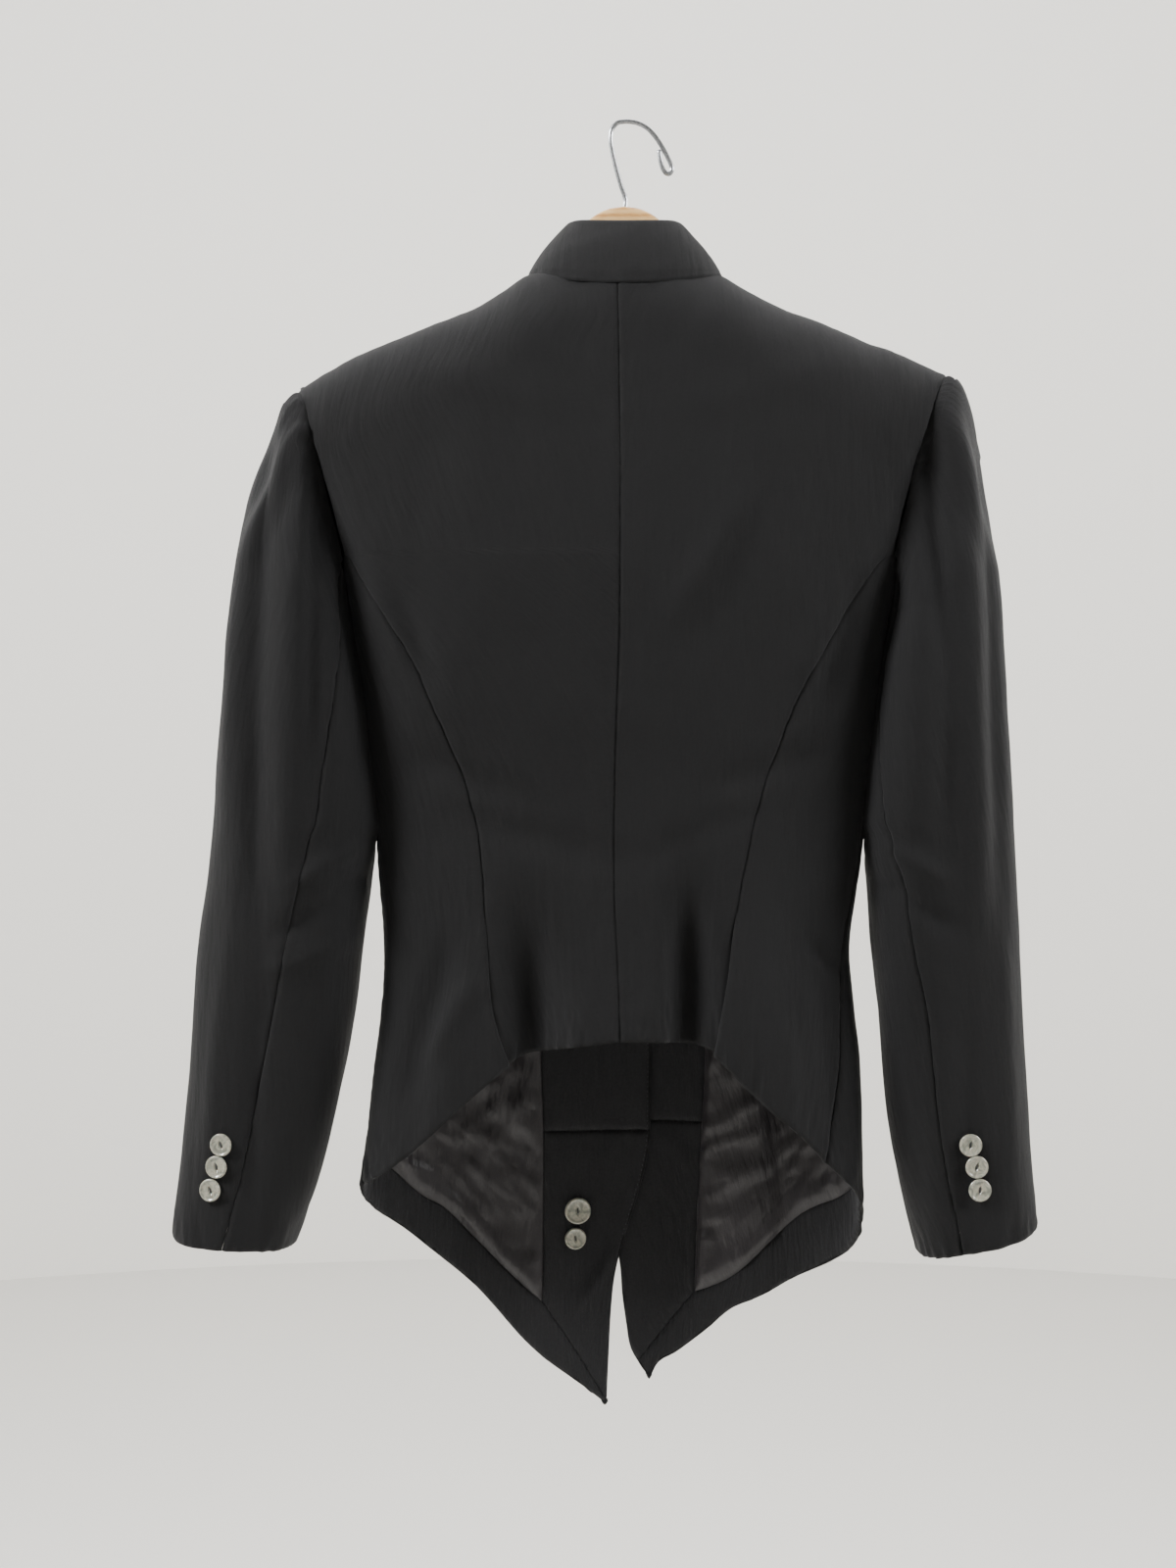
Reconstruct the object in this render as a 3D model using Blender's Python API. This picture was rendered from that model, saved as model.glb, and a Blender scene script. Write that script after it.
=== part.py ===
"""A black tailored jacket with a stand collar, hung on a wooden hanger, back to the viewer.

Metres, +Z up. The back faces -Y, and the origin is where the hook's wire rests on a knob.
Tables are in millimetres, and a "drop" is a distance below the origin. A "turn" goes round
the body in degrees: 0 at the centre back, 90 at the side, 180 at the centre front.
"""
import math

import bmesh
import bpy
from mathutils import Vector

MM = 0.001
WALL = 1.8             # the jacket's cloth
LINING_WALL = 1.0      # facings and lining
SEAM_GAP = 0.3         # between two pieces that are sewn together
LINING_GAP = 0.35      # between the fronts and what lies inside them
UNDERARM_DROP = 305.0  # lowest point of both armholes
SHOULDER_ROUND = 60.0  # how far below the shoulder line the cloth reaches its full depth
OVERLAP_STEP = 4.6     # the right front lies this far outside the left one
FACING_TOP_DROP = 575.0
CUFF_BUTTON_RADIUS = 7.5
LARGE_BUTTON_RADIUS = 9.2
BUTTON_THICKNESS = 2.4
WIRE_RADIUS = 1.6
HANGER_DEPTH = 12.0
HANGER_TIP_X = 200.0
LEFT, RIGHT = -1, 1
# every panel of the body shares these rows, so that seams meet point by point
ROWS, BEND_ROW, UNDERARM_ROW, FACING_ROW, CROSS_ROW, LINING_ROW = 25, 4, 7, 15, 18, 23
CENTRE_COLUMNS, SIDE_COLUMNS, FRONT_COLUMNS, LINING_COLUMNS = 8, 6, 11, 8
SLEEVE_ROWS, UPPER_COLUMNS, UNDER_COLUMNS = 16, 14, 5
SIDE_NAMES = {LEFT: "left", RIGHT: "right"}

# the body's outline and depth at each drop
BODY = (
    # drop, left, right, back, front
    (80.0, 236.0, 232.0, 52.0, 44.0),
    (180.0, 236.0, 230.0, 56.0, 47.0),
    (235.0, 211.0, 204.0, 59.0, 50.0),
    (305.0, 188.0, 184.0, 60.0, 51.0),
    (350.0, 181.0, 174.0, 57.0, 49.0),
    (394.0, 175.0, 169.5, 53.0, 46.0),
    (430.0, 171.0, 166.0, 49.0, 43.0),
    (471.0, 167.0, 162.5, 46.0, 41.0),
    (500.0, 165.5, 159.0, 46.0, 40.0),
    (550.0, 162.0, 152.0, 49.0, 41.0),
    (590.0, 163.0, 154.0, 53.0, 42.0),
    (640.0, 168.5, 159.0, 58.0, 44.0),
    (716.0, 177.0, 161.0, 61.0, 46.0),
    (760.0, 178.0, 161.0, 61.0, 46.0),
    (880.0, 178.0, 160.0, 60.0, 44.0),
)
SQUARENESS = 2.4

# the ridge of the shoulders, from the neck outwards
SHOULDER = {
    LEFT: ((0, 81), (64, 103.6), (83, 114.8), (107.6, 128), (141, 141.2), (172, 154.4),
           (198.6, 167.6), (220, 182), (245, 205)),
    RIGHT: ((0, 81), (64, 102.6), (84, 114.8), (113, 128), (146.5, 141.2), (182, 154.4),
            (210, 167.6), (219, 172.5), (245, 196)),
}
NECK_X = 64.0
BACK_NECK_DROP = 115.0
FRONT_NECK_DROP = 128.0
RIDGE_GAP_DROP = 0.008  # keeps the shoulder seam's two sides apart
COLLAR_LIFT = 1.5

# seams on the back: drop, distance from the middle of the hook
CENTRE_SEAM = ((110, -5), (216, -3.5), (343, -4.1), (419, -6.6), (508, -7.3),
               (572, -4.7), (620, -3.5))
PRINCESS_SEAM = {
    LEFT: ((292, 184), (309, 174.4), (326, 163), (344, 151.8), (367, 138.3), (391, 127.1),
           (416, 116), (438, 107.1), (461, 100.1), (481, 95.6), (504, 93.4), (550, 90.1),
           (590, 86.1), (625, 75)),
    RIGHT: ((292, 176.5), (299, 168.1), (322, 152.4), (349, 136.5), (374, 120.9),
            (391, 111.7), (414, 102.8), (445, 91.6), (468, 85), (488, 80.5), (506, 77.1),
            (545, 70), (572, 66.5), (621, 58)),
}
PRINCESS_START_DROP = 292.0
ARMHOLE_BACK = {
    LEFT: ((182, 219), (211, 209), (240, 201), (264, 194.8), (287, 188.4), (292, 187.4),
           (300, 187.4), (305, 188)),
    RIGHT: ((172, 217), (195.6, 204.5), (234.5, 192.7), (269, 184.6), (285, 181), (292, 180.4),
            (300, 182.6), (305, 184)),
}
ARMHOLE_FRONT = {
    LEFT: ((182, 219), (205, 206), (235, 194), (265, 187), (287, 184.5), (298, 185.5),
           (305, 188)),
    RIGHT: ((172, 217), (200, 201), (235, 187.5), (265, 181), (287, 178.5), (298, 181),
            (305, 184)),
}
# side seam: drop, turn
SIDE_SEAM = {
    LEFT: ((305, 90), (500, 90), (712, 86.5)),
    RIGHT: ((305, 90), (450, 79), (610, 63), (694, 52.5)),
}
# hems: turn, drop
BACK_HEM = {
    LEFT: ((0, 612.5), (6, 614.6), (15.5, 619.7), (22, 624.7), (30.5, 641.8),
           (41, 666.6), (56.5, 696), (70.5, 707), (90, 713)),
    RIGHT: ((0, 612.5), (8.5, 613.3), (16, 615.9), (22, 623), (29.5, 644.4), (35.5, 659),
            (42, 672), (52.5, 694)),
}
FRONT_HEM = {
    LEFT: ((86.5, 713), (103, 727), (120.5, 742), (131, 756), (147.5, 791), (161, 832),
           (179.5, 874)),
    RIGHT: ((52.5, 694), (62, 708), (72.5, 719), (84, 731), (98.5, 749), (120.5, 771), (135, 785),
            (145, 798), (152, 807), (157.5, 822), (164.5, 839), (169, 847), (171, 858)),
}
# front edges: drop, distance past the middle, to the photo's right
FRONT_EDGE = {
    LEFT: ((100, 19), (684, 19), (712, 15), (732, 9.4), (755, 2.4), (774, -3.3), (791, -6.7),
           (816, -8.9), (844, -10.3), (874, -11.7)),
    RIGHT: ((100, -18), (690, -18), (740, -10), (778, -2.4), (800, -0.6), (820, 2.2),
            (837, 5.2), (849, 12), (858, 18.5)),
}
# long folds of the skirt: a positive depth pushes the cloth inwards
FOLDS = (
    # start, x at start, x per mm of drop, half width, depth, face (-1 back, 1 front)
    (500.0, -66.0, 0.06, 19.0, 17.0, -1.0),
    (480.0, 40.0, 0.02, 15.0, 18.0, -1.0),
    (520.0, -98.0, -0.18, 15.0, -7.0, -1.0),
    (520.0, 84.0, 0.12, 16.0, -7.0, -1.0),
    (320.0, -112.0, 0.02, 26.0, -4.0, 1.0),
    (420.0, -60.0, 0.03, 20.0, 5.0, 1.0),
    (420.0, 74.0, 0.02, 22.0, 5.0, 1.0),
    (330.0, 118.0, 0.02, 24.0, -4.0, 1.0),
)
FOLD_GROWTH = 110.0    # drop over which a fold grows to its full depth

SLEEVE = {
    LEFT: (
        # drop, outer, inner, half depth
        (318, 257.5, 188, 50), (352, 263.3, 182.6, 53), (392, 268.6, 176.8, 54),
        (431, 273.2, 172.2, 53), (471, 276.5, 168.4, 51), (489, 278.4, 167.6, 50),
        (506, 280.2, 169.8, 49),
        (550, 285.8, 174.9, 47), (603, 290, 181.5, 44), (656, 295, 192, 42), (700, 298, 203, 40),
        (752, 303, 222, 39)),
    RIGHT: (
        (318, 249.5, 183, 50), (352, 252.1, 175.8, 53), (392, 254.8, 171, 54),
        (431, 258.1, 167.2, 53), (471, 260.7, 163.8, 51), (492, 261.8, 161.9, 50),
        (510, 262.8, 163.4, 49),
        (550, 264.7, 166.5, 47), (603, 267.3, 171.5, 44), (656, 271.4, 176, 42), (700, 274, 184, 40),
        (752, 277, 198, 39)),
}
SLEEVE_SQUARENESS = 2.2
SLEEVE_TOP_TILT = 16.0
CUFF_TILT = {LEFT: 3.0, RIGHT: 9.5}
# where the sleeve's seams run: drop, degrees round the sleeve from its outer side to the back
BACK_SLEEVE_SEAM = {
    LEFT: ((250, 140), (318, 150), (377, 128), (436, 112), (500, 102), (605, 93), (752, 87)),
    RIGHT: ((250, 140), (318, 160), (391, 160), (432, 150), (502, 129), (557, 120),
            (600, 113), (752, 110)),
}
FRONT_SLEEVE_SEAM = ((250, 222), (318, 222), (752, 226))
# armhole: degrees round the sleeve, share of the way down the armhole
ARMHOLE_ROUND = ((0, 0), (35, 0.2), (70, 0.48), (110, 0.76), (145, 0.93), (180, 1))

SLEEVE_START, SLEEVE_END = 318.0, 752.0
SLEEVE_HEAD_SHARE = 0.34
HEAD_REACH, UNDERARM_REACH = 58.0, 14.0
GATHER_HEIGHT = 2.2
RIPPLE_HEIGHT = 2.0

# facings and lining: drop, distance past the middle of the line where they meet
FACING_LINE = {
    LEFT: ((560, -57), (639, -56.6), (684, -55.2), (745, -55.2), (802, -55.7)),
    RIGHT: ((560, 58), (639, 57), (703, 54.2), (745, 52.3), (796, 50.5)),
}
CROSS_SEAM_DROP = {LEFT: 684.5, RIGHT: 678.5}
MITRE = {LEFT: ((802, -55.7), (872, -14)), RIGHT: ((796, 50.5), (846, 22))}
# lower edge of the lining: turn, drop
LINING_HEM = {
    LEFT: ((86.5, 684), (107.5, 697), (121.5, 709), (133.5, 728.8), (139.5, 737.2), (148, 759.6),
           (158, 787.4), (164, 801.7)),
    RIGHT: ((52.5, 669), (72.5, 694), (98.5, 714), (114, 725.7), (131.5, 739.9), (142.5, 762.3),
            (151.5, 784.7), (160, 796.1)),
}
FACING_EDGE_ROLL = 0.9

CUFF_BUTTONS = {
    LEFT: ((681.8, -264.7), (696.7, -267.8), (712.4, -271.9)),
    RIGHT: ((681.3, 226.2), (695.9, 230.3), (711.2, 232.4)),
}
SPARE_BUTTONS = {
    "spare_button_large": (739.9, -32.5, LARGE_BUTTON_RADIUS),
    "spare_button_small": (758.9, -34.2, CUFF_BUTTON_RADIUS),
}
FRONT_BUTTON_DROPS = (165.0, 255.0, 345.0, 435.0, 525.0)

# the wooden bar, from its middle to where it goes under the shoulders
HANGER = (
    # x, drop of the top edge, height
    (0, 56, 44), (11, 57.8, 43), (21, 63, 39), (29, 71, 34), (36, 82, 28), (44, 92, 24),
    (54, 102, 22), (64, 107.8, 21))
HANGER_CLEARANCE = WALL + 1.7
HANGER_TIP_HEIGHT = 14.0

HOOK = ((0.7, 55.6), (0.7, 50), (-2, 42), (-5.3, 30.3), (-7.9, 19), (-9.2, 11), (-8.4, 4), (-4.8, -0.6),
        (0, -1.6), (5.3, -1.4), (10, -0.2), (15.2, 2.6), (20.5, 8), (25.8, 16), (30.2, 24.4),
        (32.2, 30), (30.6, 33.4), (27.4, 32.4), (24.8, 26.4), (23.4, 17.5))

COLLAR_TOP = {"half_width": 37.5, "back": 30.0, "front": 27.0, "back_drop": 71.5, "side_drop": 67.0,
              "front_drop": 77.0}
COLLAR_BULGE = 2.4
COLLAR_HALF_TURN = 179.2

COLOURS = {
    # name: colour, roughness, metallic
    "wool": ((0.016, 0.016, 0.019), 0.85, 0.0),
    "facing_wool": ((0.018, 0.018, 0.020), 0.8, 0.0),
    "satin": ((0.045, 0.043, 0.042), 0.4, 0.0),
    "shell": ((0.45, 0.46, 0.40), 0.25, 0.0),
    "beech": ((0.52, 0.30, 0.12), 0.45, 0.0),
    "wire": ((0.55, 0.55, 0.55), 0.3, 1.0),
}


def smooth_at(table, value):
    """Read a table at a value, with a smooth curve through its rows."""
    value = min(max(value, table[0][0]), table[-1][0])
    k = 0
    while k < len(table) - 2 and table[k + 1][0] < value:
        k += 1
    first, last = table[k], table[k + 1]
    before, after = table[max(k - 1, 0)], table[min(k + 2, len(table) - 1)]
    span = last[0] - first[0]
    t = (value - first[0]) / span
    weights = (2 * t ** 3 - 3 * t ** 2 + 1, t ** 3 - 2 * t ** 2 + t, 3 * t ** 2 - 2 * t ** 3,
               t ** 3 - t ** 2)
    here = []
    for b, p0, p1, a in zip(before[1:], first[1:], last[1:], after[1:]):
        m0 = (p1 - b) / (last[0] - before[0]) * span
        m1 = (a - p0) / (after[0] - first[0]) * span
        here.append(weights[0] * p0 + weights[1] * m0 + weights[2] * p1 + weights[3] * m1)
    return here if len(here) > 1 else here[0]


def signed_power(value, power):
    return math.copysign(abs(value) ** power, value)


def ease(t):
    t = min(max(t, 0.0), 1.0)
    return t * t * (3 - 2 * t)


def mix(a, b, t):
    return a + (b - a) * t


def shoulder_drop(x):
    return smooth_at(SHOULDER[LEFT if x < 0 else RIGHT], abs(x))


def fold_depth(x, drop, face):
    total = 0.0
    for start, x_start, slope, half_width, depth, fold_face in FOLDS:
        if fold_face == face and drop > start:
            middle = x_start + slope * (drop - start)
            grown = ease((drop - start) / FOLD_GROWTH)
            total += depth * grown * math.exp(-((x - middle) / half_width) ** 2)
    return total


def body_point(turn, drop):
    """A point of the jacket's outer surface, in millimetres."""
    left, right, back, front = smooth_at(BODY, drop)
    round_x, round_y = math.sin(math.radians(turn)), math.cos(math.radians(turn))
    radius = (abs(round_x) ** SQUARENESS + abs(round_y) ** SQUARENESS) ** (-1 / SQUARENESS)
    x = (right - left) / 2 + (right + left) / 2 * radius * round_x
    depth = back if round_y > 0 else front
    below = max(drop - shoulder_drop(x), 0.0) / SHOULDER_ROUND
    crown = math.sqrt(max(1 - (1 - min(below, 1.0)) ** 2, 0.0))
    y = -depth * radius * round_y * crown
    face = -1.0 if round_y > 0 else 1.0
    y -= face * fold_depth(x, drop, face) * abs(round_y) ** 0.5
    return Vector((x, y, -drop))


def back_turn(side, x, drop):
    left, right = smooth_at(BODY, drop)[:2]
    share = min(max((x - (right - left) / 2) / ((right + left) / 2), -1.0), 1.0)
    depth_share = (1 - abs(share) ** SQUARENESS) ** (1 / SQUARENESS)
    return side * math.degrees(math.atan2(share, depth_share))


def front_turn(side, x, drop):
    return 180.0 - back_turn(side, x, drop)


def mm_to_turn(side, turn, drop, distance):
    """How many degrees of turn a distance along the cloth takes."""
    step = 0.5
    here = body_point(side * (turn - step), drop)
    there = body_point(side * (turn + step), drop)
    return distance * 2 * step / max((there - here).length, 1e-6)


def inwards(surface, u, v, outside):
    """The unit normal of a surface that points to the cloth's inner side."""
    step = 1e-3
    u0, u1 = max(u - step, 0.0), min(u + step, 1.0)
    v0, v1 = max(v - step, 0.0), min(v + step, 1.0)
    across = surface(u1, v) - surface(u0, v)
    down = surface(u, v1) - surface(u, v0)
    normal = across.cross(down).normalized()
    return normal if normal.dot(outside) < 0 else -normal


def cloth(name, surface, outside, columns, rows, material, wall=WALL, inset=0.0):
    """A closed wall of cloth: a grid, extruded once, whose two layers are laid on a surface."""
    mesh = bmesh.new()
    bmesh.ops.create_grid(mesh, x_segments=columns, y_segments=rows, size=0.5)
    bmesh.ops.triangulate(mesh, faces=mesh.faces[:], quad_method="FIXED")
    grown = bmesh.ops.extrude_face_region(mesh, geom=mesh.faces[:])
    inner = [item for item in grown["geom"] if isinstance(item, bmesh.types.BMVert)]
    bmesh.ops.translate(mesh, verts=inner, vec=(0, 0, 1))
    for vertex in mesh.verts:
        u, v, layer = vertex.co.x + 0.5, vertex.co.y + 0.5, vertex.co.z
        u, v = min(max(u, 0.0), 1.0), min(max(v, 0.0), 1.0)
        point = surface(u, v)
        direction = inwards(surface, u, v, outside(point))
        vertex.co = (point + direction * (inset + wall * layer)) * MM
    if mesh.calc_volume(signed=True) < 0:
        bmesh.ops.reverse_faces(mesh, faces=mesh.faces[:])
    return add_piece(name, mesh, material)


def add_piece(name, mesh, material):
    data = bpy.data.meshes.new(name)
    mesh.to_mesh(data)
    mesh.free()
    data.shade_smooth()
    data.set_sharp_from_angle(angle=math.radians(50))
    piece = bpy.data.objects.new(name, data)
    collection.objects.link(piece)
    data.materials.append(materials[material])
    return piece


def body_outside(point):
    return Vector((point.x, point.y * 3, 20 if point.z > -200 else 0)).normalized()


def along_lines(lines, row):
    """A drop at a row, read straight between rows whose drops are known."""
    for (first, start), (last, end) in zip(lines, lines[1:]):
        if row <= last:
            return mix(start, end, (row - first) / (last - first))
    return lines[-1][1]


def over_shoulder(start, under, row):
    """Rows crowd together where the cloth turns over the shoulder."""
    start += RIDGE_GAP_DROP
    bend_end = SHOULDER_ROUND * 0.9
    if row < BEND_ROW:
        return start + bend_end * (1 - math.cos(math.radians(90 * (row / BEND_ROW) ** 1.3)))
    return mix(start + bend_end, under, (row - BEND_ROW) / (UNDERARM_ROW - BEND_ROW))


def side_lines(side):
    """The drops at the side seam, from the underarm to the hem."""
    lining, hem = LINING_HEM[side][0][1], FRONT_HEM[side][0][1]
    cross = mix(FACING_TOP_DROP, lining, cross_share(side))
    return ((UNDERARM_ROW, UNDERARM_DROP), (FACING_ROW, FACING_TOP_DROP), (CROSS_ROW, cross),
            (LINING_ROW, lining), (ROWS, hem))


def cross_share(side):
    return (CROSS_SEAM_DROP[side] - FACING_TOP_DROP) / (LINING_HEM[side][-1][1] - FACING_TOP_DROP)


def skirt_share(side, row):
    lines = side_lines(side)
    return (along_lines(lines, row) - UNDERARM_DROP) / (lines[-1][1] - UNDERARM_DROP)


def ridge_start(side, turn, start, ridge):
    """The drop where a line of constant turn meets the shoulder or the neck."""
    for _ in range(4):
        start = ridge(max(side * body_point(side * turn, start).x, 0.0))
    return start


def seam_inset(side, turn, drop):
    return mm_to_turn(side, turn, drop, SEAM_GAP / 2 + 0.1)


def neck_edge(side, centre_drop):
    def edge(x):
        if x >= NECK_X:
            return smooth_at(SHOULDER[side], x)
        return mix(centre_drop, smooth_at(SHOULDER[side], NECK_X), (x / NECK_X) ** 2)
    return edge


def make_back_centre(side):
    """A back panel, from the centre seam to the armhole and, below it, the princess seam."""
    ridge = neck_edge(side, BACK_NECK_DROP)

    def near_turn(drop):
        return back_turn(side, smooth_at(CENTRE_SEAM, drop), drop)

    def surface(u, v):
        row = v * ROWS
        if row < UNDERARM_ROW:
            near_drop = over_shoulder(BACK_NECK_DROP, PRINCESS_START_DROP, row)
            far_drop = over_shoulder(ARMHOLE_BACK[side][0][0], PRINCESS_START_DROP, row)
        else:
            near_drop = mix(PRINCESS_START_DROP, BACK_HEM[side][0][1], skirt_share(side, row))
            far_drop = mix(PRINCESS_START_DROP, PRINCESS_SEAM[side][-1][0], skirt_share(side, row))
        near, far = near_turn(near_drop), princess_turn(side, far_drop)
        near += seam_inset(side, near, near_drop)
        far -= seam_inset(side, far, far_drop)
        turn = mix(near, far, u)
        if row < UNDERARM_ROW:
            drop = over_shoulder(ridge_start(side, turn, near_drop, ridge), PRINCESS_START_DROP, row)
        else:
            hem = smooth_at(BACK_HEM[side], princess_turn(side, PRINCESS_SEAM[side][-1][0]) * u)
            drop = mix(PRINCESS_START_DROP, hem, skirt_share(side, row))
        return body_point(side * turn, drop)

    cloth(f"back_centre_{SIDE_NAMES[side]}", surface, body_outside, CENTRE_COLUMNS, ROWS, "wool")


def armhole_drop(side, turn):
    """How far down the armhole is at a turn, under the arm."""
    high, low = PRINCESS_START_DROP, UNDERARM_DROP
    for _ in range(20):
        middle = (high + low) / 2
        if back_turn(side, side * smooth_at(ARMHOLE_BACK[side], middle), middle) < turn:
            high = middle
        else:
            low = middle
    return (high + low) / 2


def princess_turn(side, drop):
    table = ARMHOLE_BACK[side] if drop < PRINCESS_START_DROP else PRINCESS_SEAM[side]
    return back_turn(side, side * smooth_at(table, drop), drop)


def make_back_side(side):
    """A side back panel, from the princess seam to the side seam."""
    def surface(u, v):
        share = skirt_share(side, mix(UNDERARM_ROW, ROWS, v))
        near_drop = mix(PRINCESS_START_DROP, PRINCESS_SEAM[side][-1][0], share)
        far_drop = mix(UNDERARM_DROP, BACK_HEM[side][-1][1], share)
        near, far = princess_turn(side, near_drop), smooth_at(SIDE_SEAM[side], far_drop)
        near += seam_inset(side, near, near_drop)
        far -= seam_inset(side, far, far_drop)
        turn = mix(near, far, u)
        top = armhole_drop(side, mix(princess_turn(side, PRINCESS_START_DROP), 89.6, u))
        hem = smooth_at(BACK_HEM[side], mix(princess_turn(side, PRINCESS_SEAM[side][-1][0]),
                                            BACK_HEM[side][-1][0], u))
        return body_point(side * turn, mix(top + SEAM_GAP * (1 - u), hem, share))

    cloth(f"back_side_{SIDE_NAMES[side]}", surface, body_outside, SIDE_COLUMNS, ROWS - UNDERARM_ROW, "wool")


def step_out(point):
    """The right front passes over the left one near the middle."""
    return OVERLAP_STEP * ease((60.0 - point.x) / 30.0)


def front_surface(side):
    """A front, whose rows and columns also carry the edges of its facings and its lining."""
    ridge = neck_edge(side, FRONT_NECK_DROP)
    step = step_out if side == RIGHT else None
    lines_at_side = side_lines(side)
    fold = LINING_COLUMNS / FRONT_COLUMNS
    facing_x, mitre_drop = MITRE[side][0][1], MITRE[side][0][0]
    hem = FRONT_HEM[side]
    hem_fold = front_turn(side, facing_x, mitre_drop + 30)

    def lines(u):
        """The drops of the named rows at u."""
        if u <= fold:
            share = u / fold
            lining_hem = LINING_HEM[side]
            lining = smooth_at(lining_hem, mix(lining_hem[0][0], lining_hem[-1][0], share))
            cross = mix(FACING_TOP_DROP, lining, cross_share(side))
            edge = smooth_at(hem, mix(hem[0][0], hem_fold, share))
        else:
            share = (u - fold) / (1 - fold)
            lining = mix(LINING_HEM[side][-1][1], MITRE[side][1][0], share)
            cross = CROSS_SEAM_DROP[side]
            edge = smooth_at(hem, mix(hem_fold, hem[-1][0], share))
        return ((UNDERARM_ROW, mix(UNDERARM_DROP, 290, min(4 * u, 1))), (FACING_ROW, FACING_TOP_DROP),
                (CROSS_ROW, cross), (LINING_ROW, lining), (ROWS, edge))

    def seam_turn(drop):
        if drop < UNDERARM_DROP:
            return front_turn(side, side * smooth_at(ARMHOLE_FRONT[side], drop), drop)
        return smooth_at(SIDE_SEAM[side], drop)

    def line_turn(drop):
        return front_turn(side, smooth_at(FACING_LINE[side], drop), drop)

    def edge_turn(drop):
        return front_turn(side, smooth_at(FRONT_EDGE[side], drop), drop)

    def turns(row):
        """The turns of the side seam, the facing's inner line and the front edge at a row."""
        if row < UNDERARM_ROW:
            seam_drop = over_shoulder(ARMHOLE_FRONT[side][0][0], UNDERARM_DROP, row)
            line_drop = edge_drop = over_shoulder(FRONT_NECK_DROP, 290, row)
        else:
            seam_drop = along_lines(lines_at_side, row)
            line_drop, edge_drop = along_lines(lines(fold), row), along_lines(lines(1.0), row)
        seam, edge = seam_turn(seam_drop), edge_turn(edge_drop)
        return (seam + seam_inset(side, seam, seam_drop), line_turn(line_drop), edge)

    def surface(u, v):
        row = v * ROWS
        seam, line, edge = turns(row)
        turn = mix(seam, line, u / fold) if u <= fold else mix(line, edge, (u - fold) / (1 - fold))
        if row < UNDERARM_ROW:
            start = ridge_start(side, turn, 150.0, ridge)
            drop = over_shoulder(start, lines(u)[0][1], row)
        else:
            drop = along_lines(lines(u), row)
        point = body_point(side * turn, drop)
        if step:
            point.y += step(point)
        return point
    return surface


def make_front(side):
    """A front, with what the short back leaves in view inside it."""
    name = SIDE_NAMES[side]
    surface = front_surface(side)
    cloth(f"front_{name}", surface, body_outside, FRONT_COLUMNS, ROWS, "wool")

    def lay(piece, columns, rows, material):
        """A thin piece on the front's own rows and columns, just inside it."""
        first_column, last_column = columns
        first_row, last_row = rows
        first_u, last_u = first_column / FRONT_COLUMNS, last_column / FRONT_COLUMNS
        width = (surface(last_u, 0.8) - surface(first_u, 0.8)).length
        length = (surface(0.5, last_row / ROWS) - surface(0.5, first_row / ROWS)).length

        def inner(u, v):
            gap_u = (FACING_EDGE_ROLL if last_column == FRONT_COLUMNS else SEAM_GAP / 2 + 0.1) / width
            gap_v = (FACING_EDGE_ROLL if last_row == ROWS else SEAM_GAP / 2 + 0.1) / length
            near_gap, top_gap = (SEAM_GAP + 0.2) / width, (SEAM_GAP / 2 + 0.1) / length
            column = mix(first_column, last_column, mix(near_gap, 1 - gap_u, u))
            row = mix(first_row, last_row, mix(top_gap, 1 - gap_v, v))
            return surface(column / FRONT_COLUMNS, row / ROWS)

        cloth(f"{piece}_{name}", inner, body_outside, last_column - first_column, last_row - first_row,
              material, wall=LINING_WALL, inset=WALL + LINING_GAP)

    side_part, front_part = (0, LINING_COLUMNS), (LINING_COLUMNS, FRONT_COLUMNS)
    lay("lining", side_part, (FACING_ROW, LINING_ROW), "satin")
    lay("facing_upper", front_part, (FACING_ROW, CROSS_ROW), "facing_wool")
    lay("facing_lower", front_part, (CROSS_ROW, LINING_ROW), "facing_wool")
    lay("hem_facing", (0, FRONT_COLUMNS), (LINING_ROW, ROWS), "facing_wool")


def armhole_point(side, around):
    """A point of the armhole; around is 0 at the shoulder, 90 at the back, 180 underneath."""
    at_back = around <= 180
    table = ARMHOLE_BACK[side] if at_back else ARMHOLE_FRONT[side]
    share = smooth_at(ARMHOLE_ROUND, around if at_back else 360 - around)
    drop = mix(table[0][0], UNDERARM_DROP, share)
    turn = (back_turn if at_back else front_turn)(side, side * smooth_at(table, drop), drop)
    return body_point(side * turn, drop)


def tube_point(side, around, drop):
    """A point of the sleeve below its head."""
    outer, inner, half_depth = smooth_at(SLEEVE[side], drop)
    out, to_back = math.cos(math.radians(around)), math.sin(math.radians(around))
    ripple = RIPPLE_HEIGHT * math.cos(math.radians(4 * around - 100)) * (1 - ease((drop - 330) / 300))
    x = (outer + inner) / 2 + (outer - inner) / 2 * signed_power(out, 2 / SLEEVE_SQUARENESS)
    y = half_depth * signed_power(to_back, 2 / SLEEVE_SQUARENESS)
    tilt = SLEEVE_TOP_TILT * (1 - ease((drop - SLEEVE_START) / 90))
    tilt += CUFF_TILT[side] * ease((drop - 640) / (SLEEVE_END - 640))
    return Vector((side * (x + ripple * min(out, 0.8)), -(y + ripple * to_back), -(drop - tilt * out)))


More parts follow.
